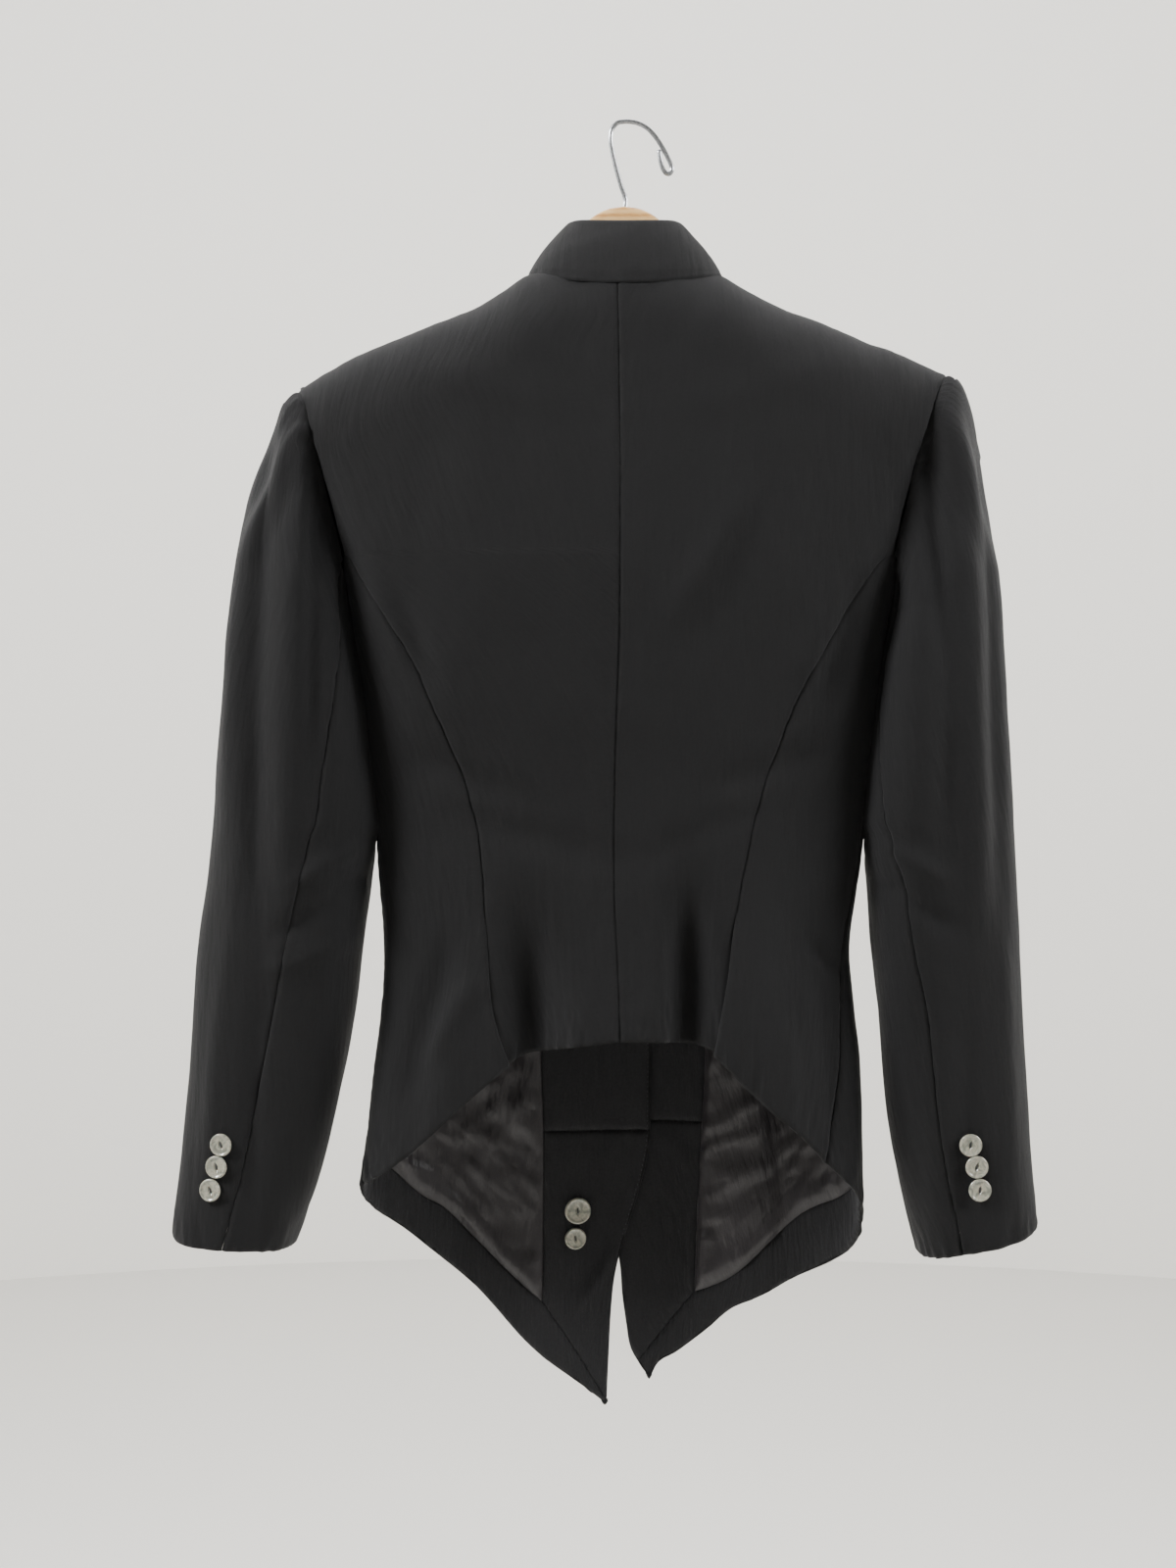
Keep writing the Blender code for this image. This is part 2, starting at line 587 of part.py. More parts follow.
def sleeve_point(side, around, along):
    """From the armhole, where along is 0, over the head, where it is 1, to the cuff, where it is 2."""
    if along >= 1:
        return tube_point(side, around, mix(SLEEVE_START, SLEEVE_END, along - 1))
    around %= 360
    out, to_back = math.cos(math.radians(around)), math.sin(math.radians(around))
    start, end = armhole_point(side, around), tube_point(side, around, SLEEVE_START)
    reach = mix(UNDERARM_REACH, HEAD_REACH, (1 + out) / 2)
    leave = Vector((side, -0.35 * to_back, 0.2 - 0.8 * (1 - out))) * reach
    arrive = Vector((side * 0.1 * out, 0, -1)) * (end - start).length * 1.1
    t = mix((0.5 + 0.3 * (1 - out)) / reach, 1, along)
    point = (start * (2 * t ** 3 - 3 * t ** 2 + 1) + leave * (t ** 3 - 2 * t ** 2 + t)
             + end * (3 * t ** 2 - 2 * t ** 3) + arrive * (t ** 3 - t ** 2))
    gather = GATHER_HEIGHT * math.cos(math.radians(9 * around)) * math.sin(math.pi * t) * max(out, 0) ** 0.5
    return point + Vector((side * 0.6, -to_back, 0.5 * out)) * gather


def make_sleeve(side):
    def outside(point):
        if point.z > -SLEEVE_START:
            return point - Vector((side * 218, 0, -300))
        outer, inner = smooth_at(SLEEVE[side], -point.z)[:2]
        return Vector((point.x - side * (outer + inner) / 2, point.y, 0))

    def part_of_sleeve(first, last):
        def surface(u, v):
            if v < SLEEVE_HEAD_SHARE:
                along = v / SLEEVE_HEAD_SHARE
                drop = mix(250, SLEEVE_START, along)
            else:
                along = 1 + (v - SLEEVE_HEAD_SHARE) / (1 - SLEEVE_HEAD_SHARE)
                drop = mix(SLEEVE_START, SLEEVE_END, along - 1)
            gap = 0.35
            return sleeve_point(side, mix(first(drop) + gap, last(drop) - gap, u), along)
        return surface

    def back_seam(drop):
        return smooth_at(BACK_SLEEVE_SEAM[side], drop)

    def front_seam(drop):
        return smooth_at(FRONT_SLEEVE_SEAM, drop)

    def front_seam_from_below(drop):
        return front_seam(drop) - 360

    name = SIDE_NAMES[side]
    cloth(f"sleeve_upper_{name}", part_of_sleeve(front_seam_from_below, back_seam), outside,
          UPPER_COLUMNS, SLEEVE_ROWS, "wool")
    cloth(f"sleeve_under_{name}", part_of_sleeve(back_seam, front_seam), outside,
          UNDER_COLUMNS, SLEEVE_ROWS, "wool")


def make_collar():
    def surface(u, v):
        around = mix(-COLLAR_HALF_TURN, COLLAR_HALF_TURN, u)
        side_share, back_share = math.sin(math.radians(around)), math.cos(math.radians(around))
        side = LEFT if side_share < 0 else RIGHT
        x = NECK_X * side_share
        if back_share > 0:
            drop = neck_edge(side, BACK_NECK_DROP)(abs(x))
            base = body_point(side * back_turn(side, x, drop), drop + 0.003)
        else:
            drop = neck_edge(side, FRONT_NECK_DROP)(abs(x))
            base = body_point(side * front_turn(side, x, drop), drop + 0.003)
        depth = COLLAR_TOP["back"] if back_share > 0 else COLLAR_TOP["front"]
        end_drop = COLLAR_TOP["back_drop" if back_share > 0 else "front_drop"]
        top_drop = mix(COLLAR_TOP["side_drop"], end_drop, back_share ** 2)
        top = Vector((COLLAR_TOP["half_width"] * side_share, -depth * back_share, -top_drop))
        bulge = Vector((side_share, -back_share, 0)) * COLLAR_BULGE * 4 * v * (1 - v)
        return base + (top - base) * mix(COLLAR_LIFT / (top - base).length, 1, v) + bulge

    def outside(point):
        return Vector((point.x, point.y, 10))

    cloth("collar", surface, outside, 28, 2, "wool")


def make_button(name, radius, centre, normal):
    """A flat shell button with a raised rim."""
    mesh = bmesh.new()
    bmesh.ops.create_cone(mesh, cap_ends=True, segments=14, radius1=radius * 0.9, radius2=radius,
                          depth=BUTTON_THICKNESS)
    face = max(mesh.faces, key=lambda f: f.calc_center_median().z)
    bmesh.ops.inset_region(mesh, faces=[face], thickness=radius * 0.2, depth=-0.5)
    turn = normal.to_track_quat("Z", "Y").to_matrix().to_4x4()
    bmesh.ops.transform(mesh, matrix=turn, verts=mesh.verts)
    bmesh.ops.translate(mesh, vec=centre, verts=mesh.verts)
    bmesh.ops.scale(mesh, vec=(MM, MM, MM), verts=mesh.verts)
    return add_piece(name, mesh, "shell")


def seat(point, normal, wall):
    """The middle of a button that lies on a wall."""
    return point + normal * (wall + SEAM_GAP + BUTTON_THICKNESS / 2)


def make_buttons():
    for side in (LEFT, RIGHT):
        for number, (drop, x) in enumerate(CUFF_BUTTONS[side], start=1):
            outer, inner = smooth_at(SLEEVE[side], drop)[:2]
            share = (abs(x) - (outer + inner) / 2) / ((outer - inner) / 2)
            around = math.degrees(math.acos(signed_power(share, SLEEVE_SQUARENESS / 2)))
            here = tube_point(side, around, drop)
            across = tube_point(side, around + 1, drop) - here
            down = tube_point(side, around, drop + 1) - here
            normal = across.cross(down).normalized()
            if normal.y > 0:
                normal.negate()
            make_button(f"cuff_button_{SIDE_NAMES[side]}_{number}", CUFF_BUTTON_RADIUS,
                        seat(here, normal, 0), normal)
    for name, (drop, x, radius) in SPARE_BUTTONS.items():
        turn = LEFT * front_turn(LEFT, x, drop)
        here = body_point(turn, drop)
        across = body_point(turn + 2, drop) - body_point(turn - 2, drop)
        normal = across.cross(Vector((0, 0, 1))).normalized()
        if normal.y > 0:
            normal.negate()
        make_button(name, radius, seat(here, normal, WALL + LINING_GAP + LINING_WALL + 0.4), normal)
    for number, drop in enumerate(FRONT_BUTTON_DROPS, start=1):
        here = body_point(front_turn(RIGHT, 0.0, drop), drop)
        here.y += OVERLAP_STEP + 0.3
        make_button(f"front_button_{number}", LARGE_BUTTON_RADIUS, seat(here, Vector((0, 1, 0)), 0),
                    Vector((0, 1, 0)))


def make_hanger():
    """A flat wooden bar that follows the shoulders, with a round hump at the neck."""
    columns = 28
    mesh = bmesh.new()
    bmesh.ops.create_grid(mesh, x_segments=columns, y_segments=1, size=0.5)
    grown = bmesh.ops.extrude_face_region(mesh, geom=mesh.faces[:])
    far_side = [item for item in grown["geom"] if isinstance(item, bmesh.types.BMVert)]
    bmesh.ops.translate(mesh, verts=far_side, vec=(0, 0, 1))
    for vertex in mesh.verts:
        share, lower, layer = vertex.co.x * 2, vertex.co.y + 0.5, vertex.co.z
        x = HANGER_TIP_X * signed_power(share, 1.25)
        if abs(x) < NECK_X:
            top, height = smooth_at(HANGER, abs(x))
        else:
            top = shoulder_drop(x) + HANGER_CLEARANCE
            height = mix(HANGER[-1][2], HANGER_TIP_HEIGHT, (abs(x) - NECK_X) / (HANGER_TIP_X - NECK_X))
        vertex.co = Vector((x, (layer - 0.5) * HANGER_DEPTH, -(top + lower * height))) * MM
    if mesh.calc_volume(signed=True) < 0:
        bmesh.ops.reverse_faces(mesh, faces=mesh.faces[:])
    mesh.normal_update()
    sharp = [edge for edge in mesh.edges if edge.calc_face_angle() > math.radians(60)]
    bmesh.ops.bevel(mesh, geom=sharp, offset=3 * MM, offset_type="OFFSET", segments=2, profile=0.5,
                    affect="EDGES")
    add_piece("hanger_wood", mesh, "beech")


def make_hook():
    curve = bpy.data.curves.new("hanger_hook", "CURVE")
    curve.dimensions = "3D"
    curve.bevel_depth = WIRE_RADIUS * MM
    curve.bevel_resolution = 2
    curve.use_fill_caps = True
    samples = 2
    route = tuple((i, x, drop) for i, (x, drop) in enumerate(HOOK))
    places = [smooth_at(route, i / samples) for i in range((len(HOOK) - 1) * samples + 1)]
    spline = curve.splines.new("POLY")
    spline.points.add(len(places) - 1)
    for point, (x, drop) in zip(spline.points, places):
        point.co = (x * MM, 0, -drop * MM, 1)
    curve.materials.append(materials["wire"])
    piece = bpy.data.objects.new("hanger_hook", curve)
    collection.objects.link(piece)


materials = {}
collection = bpy.data.collections.new("jacket_on_hanger")


def start_scene():
    for item in list(bpy.data.objects):
        bpy.data.objects.remove(item)
    bpy.context.scene.collection.children.link(collection)
    for name, (colour, roughness, metallic) in COLOURS.items():
        material = bpy.data.materials.new(name)
        material.use_nodes = True
        shader = material.node_tree.nodes["Principled BSDF"]
        shader.inputs["Base Color"].default_value = (*colour, 1)
        shader.inputs["Roughness"].default_value = roughness
        shader.inputs["Metallic"].default_value = metallic
        materials[name] = material


start_scene()
for this_side in (LEFT, RIGHT):
    make_back_centre(this_side)
    make_back_side(this_side)
    make_front(this_side)
    make_sleeve(this_side)
make_collar()
make_buttons()
make_hanger()
make_hook()
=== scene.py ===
# %% [markdown]
# # A black tailored jacket on its hanger, seen from the back
#
# This lesson rebuilds the looks of a jacket whose CAD model is already packed. The jacket hangs
# on a wooden hanger, its back is cropped high, and its longer fronts end in two points.
#
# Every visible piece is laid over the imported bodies, in the same frame. The origin is where the
# hook rests on its knob, +Z is up and the back faces -Y. Tables are in millimetres, because that
# is how a cutter measures cloth. A "drop" is a distance below the origin.

# %% Load the frame
import math
from functools import lru_cache

import bmesh
import bpy
from mathutils import Matrix, Vector, noise


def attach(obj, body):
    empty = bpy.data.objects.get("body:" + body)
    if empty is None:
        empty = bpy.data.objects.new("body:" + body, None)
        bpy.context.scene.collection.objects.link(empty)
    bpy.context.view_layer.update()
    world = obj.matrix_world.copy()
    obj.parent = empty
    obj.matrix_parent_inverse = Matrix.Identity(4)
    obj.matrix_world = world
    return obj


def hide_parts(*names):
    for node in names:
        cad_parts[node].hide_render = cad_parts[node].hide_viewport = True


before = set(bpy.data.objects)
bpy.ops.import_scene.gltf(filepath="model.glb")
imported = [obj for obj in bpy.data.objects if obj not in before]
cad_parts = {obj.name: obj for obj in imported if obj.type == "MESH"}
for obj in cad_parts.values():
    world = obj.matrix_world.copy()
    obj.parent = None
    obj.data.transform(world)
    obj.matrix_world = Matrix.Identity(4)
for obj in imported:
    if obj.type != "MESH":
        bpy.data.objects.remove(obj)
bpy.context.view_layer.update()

# %% [markdown]
# ## Curves through measured rows
#
# Cloth has no straight edges once it hangs. The outline could be drawn with Bezier curves, but a
# short table of measured rows is easier to check against the photo. `smooth_at` reads such a
# table anywhere, with a smooth curve through its rows.

# %% Read tables smoothly
MM = 0.001
LEFT, RIGHT = -1, 1
SIDE_NAMES = {LEFT: "left", RIGHT: "right"}


def ease(t):
    t = min(max(t, 0.0), 1.0)
    return t * t * (3 - 2 * t)


def mix(a, b, t):
    return a + (b - a) * t


def signed_power(value, power):
    return math.copysign(abs(value) ** power, value)


def cubic(start, leave, end, arrive, t):
    """A curve from start to end that leaves and arrives in the directions given."""
    return (start * (2 * t ** 3 - 3 * t ** 2 + 1) + leave * (t ** 3 - 2 * t ** 2 + t)
            + end * (3 * t ** 2 - 2 * t ** 3) + arrive * (t ** 3 - t ** 2))


def smooth_at(table, value):
    """Every column of a table, read at a value of its first column."""
    value = min(max(value, table[0][0]), table[-1][0])
    k = 0
    while k < len(table) - 2 and table[k + 1][0] < value:
        k += 1
    before, first = table[max(k - 1, 0)], table[k]
    last, after = table[k + 1], table[min(k + 2, len(table) - 1)]
    span = last[0] - first[0]
    here = []
    for b, p0, p1, a in zip(before[1:], first[1:], last[1:], after[1:]):
        leave = (p1 - b) / (last[0] - before[0]) * span
        arrive = (a - p0) / (after[0] - first[0]) * span
        here.append(cubic(p0, leave, p1, arrive, (value - first[0]) / span))
    return here if len(here) > 1 else here[0]


print("halfway between 0 and 10 the curve reads", smooth_at(((0, 0), (1, 10)), 0.5))

# %% [markdown]
# ## The form under the cloth
#
# A jacket on a hanger is a flat tube. At each drop its section is a rounded rectangle, a
# superellipse, whose left and right reach and back and front depth come from the table. Near the
# shoulder line the depth shrinks to nothing, so the tube closes over the hanger. A "turn" goes
# round it in degrees: 0 at the centre back, 90 at the side, 180 at the centre front.
#
# The long folds of the skirt belong to the form too, since all the layers share them.

# %% Body form
SHOULDER_ROUND = 60.0  # how far below the shoulder line the cloth reaches its full depth
SQUARENESS = 2.4

# the body's outline and depth at each drop
BODY = (
    # drop, left, right, back, front
    (80, 236, 232, 52, 44),
    (180, 236, 230, 56, 47),
    (235, 211, 204, 59, 50),
    (305, 188, 184, 60, 51),
    (350, 181, 174, 57, 49),
    (394, 175, 169.5, 53, 46),
    (430, 171, 166, 49, 43),
    (471, 167, 162.5, 46, 41),
    (500, 165.5, 159, 46, 40),
    (550, 162, 152, 49, 41),
    (590, 163, 154, 53, 42),
    (640, 168.5, 159, 58, 44),
    (716, 177, 161, 61, 46),
    (760, 178, 161, 61, 46),
    (880, 178, 160, 60, 44),
)

# the ridge of the shoulders, from the neck outwards
SHOULDER = {
    LEFT: ((0, 81), (64, 103.6), (83, 114.8), (107.6, 128), (141, 141.2), (172, 154.4),
           (198.6, 167.6), (220, 182), (245, 205)),
    RIGHT: ((0, 81), (64, 102.6), (84, 114.8), (113, 128), (146.5, 141.2), (182, 154.4),
            (210, 167.6), (219, 172.5), (245, 196)),
}

# long folds of the skirt: a positive depth pushes the cloth inwards
FOLDS = (
    # start, x at start, x per mm of drop, half width, depth, face (-1 back, 1 front)
    (490, -66, 0.06, 19, 22, -1),
    (470, 40, 0.02, 15, 21, -1),
    (520, -98, -0.18, 15, -7, -1),
    (520, 84, 0.12, 16, -7, -1),
    (320, -112, 0.02, 26, -4, 1),
    (420, -60, 0.03, 20, 5, 1),
    (420, 74, 0.02, 22, 5, 1),
    (330, 118, 0.02, 24, -4, 1),
)
FOLD_GROWTH = 110.0    # drop over which a fold grows to its full depth


def shoulder_drop(x):
    return smooth_at(SHOULDER[LEFT if x < 0 else RIGHT], abs(x))


def fold_depth(x, drop, face):
    total = 0.0
    for start, x_start, slope, half_width, depth, fold_face in FOLDS:
        if fold_face == face and drop > start:
            middle = x_start + slope * (drop - start)
            grown = ease((drop - start) / FOLD_GROWTH)
            total += depth * grown * math.exp(-((x - middle) / half_width) ** 2)
    return total


def body_point(turn, drop):
    """A point of the jacket's outer surface, in millimetres."""
    left, right, back, front = smooth_at(BODY, drop)
    round_x, round_y = math.sin(math.radians(turn)), math.cos(math.radians(turn))
    radius = (abs(round_x) ** SQUARENESS + abs(round_y) ** SQUARENESS) ** (-1 / SQUARENESS)
    x = (right - left) / 2 + (right + left) / 2 * radius * round_x
    depth = back if round_y > 0 else front
    below = max(drop - shoulder_drop(x), 0.0) / SHOULDER_ROUND
    crown = math.sqrt(max(1 - (1 - min(below, 1.0)) ** 2, 0.0))
    y = -depth * radius * round_y * crown
    face = -1.0 if round_y > 0 else 1.0
    y -= face * fold_depth(x, drop, face) * abs(round_y) ** 0.5
    return Vector((x, y, -drop))


def back_turn(side, x, drop):
    left, right = smooth_at(BODY, drop)[:2]
    share = min(max((x - (right - left) / 2) / ((right + left) / 2), -1.0), 1.0)
    depth_share = (1 - abs(share) ** SQUARENESS) ** (1 / SQUARENESS)
    return side * math.degrees(math.atan2(share, depth_share))


def front_turn(side, x, drop):
    return 180.0 - back_turn(side, x, drop)


print("waist depth:", round((body_point(0, 500) - body_point(180, 500)).length), "mm")

# %% [markdown]
# ## Lay a sheet of cloth
#
# A panel could be simulated as cloth, but a hung jacket is mostly held by its cut, and a
# simulation would lose the measured outline. So each panel is a grid laid on its surface. A
# relief function then pushes every point out or in along the normal, for wrinkles and rolled
# edges, and a Solidify modifier gives it the thickness of the cloth.
#
# The grid is even in the middle and close at all four edges, where the cloth rolls into a seam.
# The distance measured across the cloth and its height become the UV map, in millimetres, so that
# the weave keeps its size on every panel.

# %% The cloth builder
WALL = 1.8             # the jacket's cloth
LINING_WALL = 1.0      # facings and lining
GRID_STEP = 3.2        # between two rows or columns
EDGE_STEPS = (0.0, 0.7, 1.5, 2.6)
pieces = {}


def spread(length):
    """Shares from 0 to 1 along a length, even in the middle and close together at its ends."""
    near_end = [step / length for step in EDGE_STEPS]
    far_end = [1 - share for share in reversed(near_end)]
    first = (EDGE_STEPS[-1] + GRID_STEP / 2) / length
    inner = max(round(length / GRID_STEP) - 2, 4)
    return near_end + [mix(first, 1 - first, k / inner) for k in range(inner + 1)] + far_end


class Place:
    """Where a point lies on its sheet: the distances to the sheet's four edges, in millimetres."""
    def __init__(self, point, near, far, top, hem):
        self.point, self.near, self.far, self.top, self.hem = point, near, far, top, hem
        self.x, self.drop = point.x, -point.z


def add_mesh_piece(name, mesh, material, *nodes):
    """Turn a bmesh in millimetres into a piece that stands for some CAD nodes."""
    bmesh.ops.scale(mesh, vec=(MM, MM, MM), verts=mesh.verts)
    data = bpy.data.meshes.new(name)
    mesh.to_mesh(data)
    mesh.free()
    data.shade_smooth()
    piece = bpy.data.objects.new(name, data)
    bpy.context.scene.collection.objects.link(piece)
    data.materials.append(materials[material])
    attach(piece, "root")
    if nodes:
        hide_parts(*nodes)
    pieces[name] = piece
    return piece


def lay_cloth(name, surface, outside, width, length, relief, material, node, thickness=WALL, inset=0.0):
    """A sheet on a surface; inset sets it that far inside, and relief shapes it."""
    across, down = spread(width), spread(length)
    columns, rows = len(across) - 1, len(down) - 1
    mesh = bmesh.new()
    bmesh.ops.create_grid(mesh, x_segments=columns, y_segments=rows, size=0.5)
    grid = {}
    for vertex in mesh.verts:
        i, j = round((vertex.co.x + 0.5) * columns), round((vertex.co.y + 0.5) * rows)
        grid[i, j] = vertex
    for j in range(rows + 1):
        for i in range(columns + 1):
            grid[i, j].co = surface(across[i], down[j])
    mesh.normal_update()
    middle = grid[columns // 2, rows // 2]
    if middle.normal.dot(outside(middle.co)) < 0:
        bmesh.ops.reverse_faces(mesh, faces=mesh.faces[:])
        mesh.normal_update()

    laid = {key: vertex.co.copy() for key, vertex in grid.items()}
    from_near, from_top = {}, {}
    for j in range(rows + 1):
        from_near[0, j] = 0.0
        for i in range(1, columns + 1):
            from_near[i, j] = from_near[i - 1, j] + (laid[i, j] - laid[i - 1, j]).length
    for i in range(columns + 1):
        from_top[i, 0] = 0.0
        for j in range(1, rows + 1):
            from_top[i, j] = from_top[i, j - 1] + (laid[i, j] - laid[i, j - 1]).length
    weave = mesh.loops.layers.uv.new("weave")
    for (i, j), vertex in grid.items():
        near, top = from_near[i, j], from_top[i, j]
        place = Place(laid[i, j], near, from_near[columns, j] - near, top, from_top[i, rows] - top)
        vertex.co = laid[i, j] + vertex.normal * (relief(place) - inset)
        for loop in vertex.link_loops:
            loop[weave].uv = (laid[columns // 2, j].x - from_near[columns // 2, j] + near, -laid[i, j].z)
    area = sum(face.calc_area() for face in mesh.faces) * MM * MM

    piece = add_mesh_piece(f"{name}_cloth", mesh, material, node)
    thicken = piece.modifiers.new("thickness", "SOLIDIFY")
    thicken.thickness = thickness * MM
    thicken.offset = -1.0
    return piece

# %% [markdown]
# ## Materials
#
# The cloth is black, so nearly all that the eye reads of it is texture: a fine weave, a soft
# sheen at grazing angles, and faint mottling where the nap lies differently. Colours are given as
# sRGB codes and changed to linear values once. Each texture works in millimetres, on the weave's
# UV map for cloth and on object coordinates for the rest.

# %% Material helpers
def colour(code):
    """A linear colour from an sRGB code such as 101011."""
    parts = [int(code[k:k + 2], 16) / 255 for k in (0, 2, 4)]
    return [p / 12.92 if p <= 0.04045 else ((p + 0.055) / 1.055) ** 2.4 for p in parts] + [1.0]


def add_node(tree, kind, settings=None, links=None):
    """A shader node with its settings, and links from other sockets into its inputs."""
    node = tree.nodes.new(kind)
    for key, value in (settings or {}).items():
        if isinstance(key, int) or key in node.inputs:
            node.inputs[key].default_value = value
        else:
            setattr(node, key, value)
    for key, socket in (links or {}).items():
        tree.links.new(socket, node.inputs[key])
    return node


def add_bump(tree, shader, height, strength, millimetres_high):
    """Bumps on a shader's normal, over the ones that it may have already."""
    normal, links = shader.inputs["Normal"], {"Height": height}
    if normal.is_linked:
        links["Normal"] = normal.links[0].from_socket
    bump = add_node(tree, "ShaderNodeBump",
                    {"Strength": strength, "Distance": millimetres_high * MM}, links)
    tree.links.new(bump.outputs["Normal"], normal)


materials = {}


def new_material(name, **settings):
    """A material whose Principled shader has the settings given; returns its tree and shader."""
    material = bpy.data.materials.new(name)
    material.use_nodes = True
    tree = material.node_tree
    shader = tree.nodes["Principled BSDF"]
    for key, value in settings.items():
        shader.inputs[key.replace("_", " ")].default_value = value
    materials[name] = material
    return tree, shader


def millimetres(tree, stretch=(1, 1, 1)):
    """Object coordinates in millimetres, or stretched."""
    place = add_node(tree, "ShaderNodeTexCoord").outputs["Object"]
    scale = [1000 * s for s in stretch]
    return add_node(tree, "ShaderNodeMapping", {"Scale": scale}, {"Vector": place}).outputs[0]


def ramp(tree, socket, *stops):
    """A colour ramp through (position, sRGB code) stops."""
    node = add_node(tree, "ShaderNodeValToRGB", links={"Fac": socket})
    elements = node.color_ramp.elements
    while len(elements) < len(stops):
        elements.new(0.5)
    for element, (position, code) in zip(elements, stops):
        element.position, element.color = position, colour(code)
    return node.outputs["Color"]


print("the wool's lighter black, 101011, is", round(colour("101011")[0], 4), "in linear light")

# %% [markdown]
# ### Wool, facing wool and lining
#
# A plain weave is two sets of bands that cross. Each thread is about 0.45 mm, so it only shows
# close up; the noise over it is what shows from two metres. The lining is a satin: its threads
# run long, so its weave hardly shows, and it has a tighter, stretched gloss and small creases.
# The facings are the same black wool, but their colours are set lighter than the wool's: painted
# light, against the shade that falls on them inside the fronts.

# %% Cloth materials
THREAD_PITCH = 0.45


def woven(name, dark, light, roughness, weave_height, crease_height, sheen, crease_size):
    """A cloth: two sRGB codes, then heights of its weave and creases and a crease's width, in mm."""
    tree, shader = new_material(name, Roughness=roughness, Sheen_Weight=sheen, Sheen_Roughness=0.45)
    shader.inputs["Sheen Tint"].default_value = colour("c4c4c8")
    shader.inputs["Specular IOR Level"].default_value = 0.22
    uv = add_node(tree, "ShaderNodeUVMap", {"uv_map": "weave"}).outputs["UV"]
    bands = []
    for direction in ("X", "Y"):
        wave = add_node(tree, "ShaderNodeTexWave", {
            "bands_direction": direction, "Scale": 2 * math.pi / 20 / THREAD_PITCH, "Distortion": 0.6,
            "Detail": 1.0, "Detail Scale": 0.4}, {"Vector": uv})
        bands.append(wave.outputs["Fac"])
    crossing = add_node(tree, "ShaderNodeMath", {"operation": "MAXIMUM"}, dict(enumerate(bands))).outputs[0]
    nap = add_node(tree, "ShaderNodeTexNoise", {"Scale": 0.55, "Detail": 5.0, "Roughness": 0.7},
                   {"Vector": uv}).outputs["Fac"]
    drawn_out = add_node(tree, "ShaderNodeMapping", {"Scale": (1 / crease_size, 0.2 / crease_size, 1)},
                         {"Vector": uv}).outputs[0]
    creases = add_node(tree, "ShaderNodeTexNoise", {"Scale": 1.0, "Detail": 3.0},
                       {"Vector": drawn_out}).outputs["Fac"]
    shade = add_node(tree, "ShaderNodeMath", {"operation": "MULTIPLY_ADD", 1: 0.35},
                     {0: crossing, 2: nap}).outputs[0]
    tree.links.new(ramp(tree, shade, (0.42, dark), (0.95, light)), shader.inputs["Base Color"])
    add_bump(tree, shader, creases, 1.0, crease_height)
    add_bump(tree, shader, nap, 0.5, 0.25)
    add_bump(tree, shader, crossing, 0.6, weave_height)
    return tree, shader


woven("wool", "050506", "101011", 0.8, 0.18, 0.9, 0.055, 5.0)
# the facing is the same black wool as the outside; its two colours are lighter than the wool's as painted
# light, making up for the shade that falls on the facings inside the fronts
woven("facing", "0c0c0d", "1f1f21", 0.74, 0.16, 2.0, 0.12, 3.5)
tree, shader = woven("satin", "1d1b1e", "292628", 0.38, 0.02, 1.6, 0.10, 6.0)
shader.inputs["Anisotropic"].default_value = 0.4
shader.inputs["Specular IOR Level"].default_value = 0.36
print("cloths:", ", ".join(materials))

# %% [markdown]
# ### Shell, wood, wire and thread
#
# Shell is layered, so its colour drifts in curved bands from grey-green to cream, under a
# polished coat. Beech has fine grain along the bar and short dark flecks. The wire is plated
# steel, with faint drawing marks.

# %% Hard materials and thread
tree, shader = new_material("shell", Roughness=0.28, Coat_Weight=0.7, Coat_Roughness=0.08,
                            Subsurface_Weight=0.1, Subsurface_Scale=0.002)
layers = add_node(tree, "ShaderNodeTexNoise", {"Scale": 0.16, "Detail": 4.0, "Distortion": 1.5},
                  {"Vector": millimetres(tree)}).outputs["Fac"]
tint = ramp(tree, layers, (0.3, "62635a"), (0.46, "7f8074"), (0.56, "999687"), (0.72, "73756c"))
tree.links.new(tint, shader.inputs["Base Color"])
add_bump(tree, shader, layers, 0.3, 0.15)

tree, shader = new_material("beech", Roughness=0.42, Coat_Weight=0.35, Coat_Roughness=0.2)
rings = add_node(tree, "ShaderNodeTexWave",
                 {"bands_direction": "Z", "Scale": 0.06, "Distortion": 3.0, "Detail": 3.0,
                  "Detail Scale": 0.5},
                 {"Vector": millimetres(tree, (0.12, 1, 1))}).outputs["Fac"]
flecks = add_node(tree, "ShaderNodeTexNoise", {"Scale": 1.0, "Detail": 3.0},
                  {"Vector": millimetres(tree, (0.15, 1.2, 1.2))}).outputs["Fac"]
grain = add_node(tree, "ShaderNodeMath", {"operation": "MULTIPLY_ADD", 1: 0.45},
                 {0: rings, 2: flecks}).outputs[0]
tint = ramp(tree, grain, (0.3, "a9773f"), (0.65, "c99a5e"), (0.95, "dab37c"))
tree.links.new(tint, shader.inputs["Base Color"])
add_bump(tree, shader, flecks, 0.4, 0.1)

tree, shader = new_material("wire", Metallic=1.0, Roughness=0.3)
drawn = add_node(tree, "ShaderNodeTexNoise", {"Scale": 0.8, "Detail": 3.0},
                 {"Vector": millimetres(tree)}).outputs["Fac"]
tree.links.new(ramp(tree, drawn, (0.35, "8d8f92"), (0.65, "babcbf")), shader.inputs["Base Color"])

new_material("thread", Base_Color=colour("17171a"), Roughness=0.7, Sheen_Weight=0.3)
print("all materials:", ", ".join(materials))

# %% [markdown]
# ## Wrinkles
#
# Three kinds of wrinkle shape this cloth. Drags are single soft folds between two points, read
# off the photo: a row gives both ends, half width and height. Crinkles are the short, nearly
# vertical ones where a hem was pressed over its turn-up. Puckers run across a seam where the
# thread draws the cloth up. All are heights in millimetres that the builder adds to a panel.

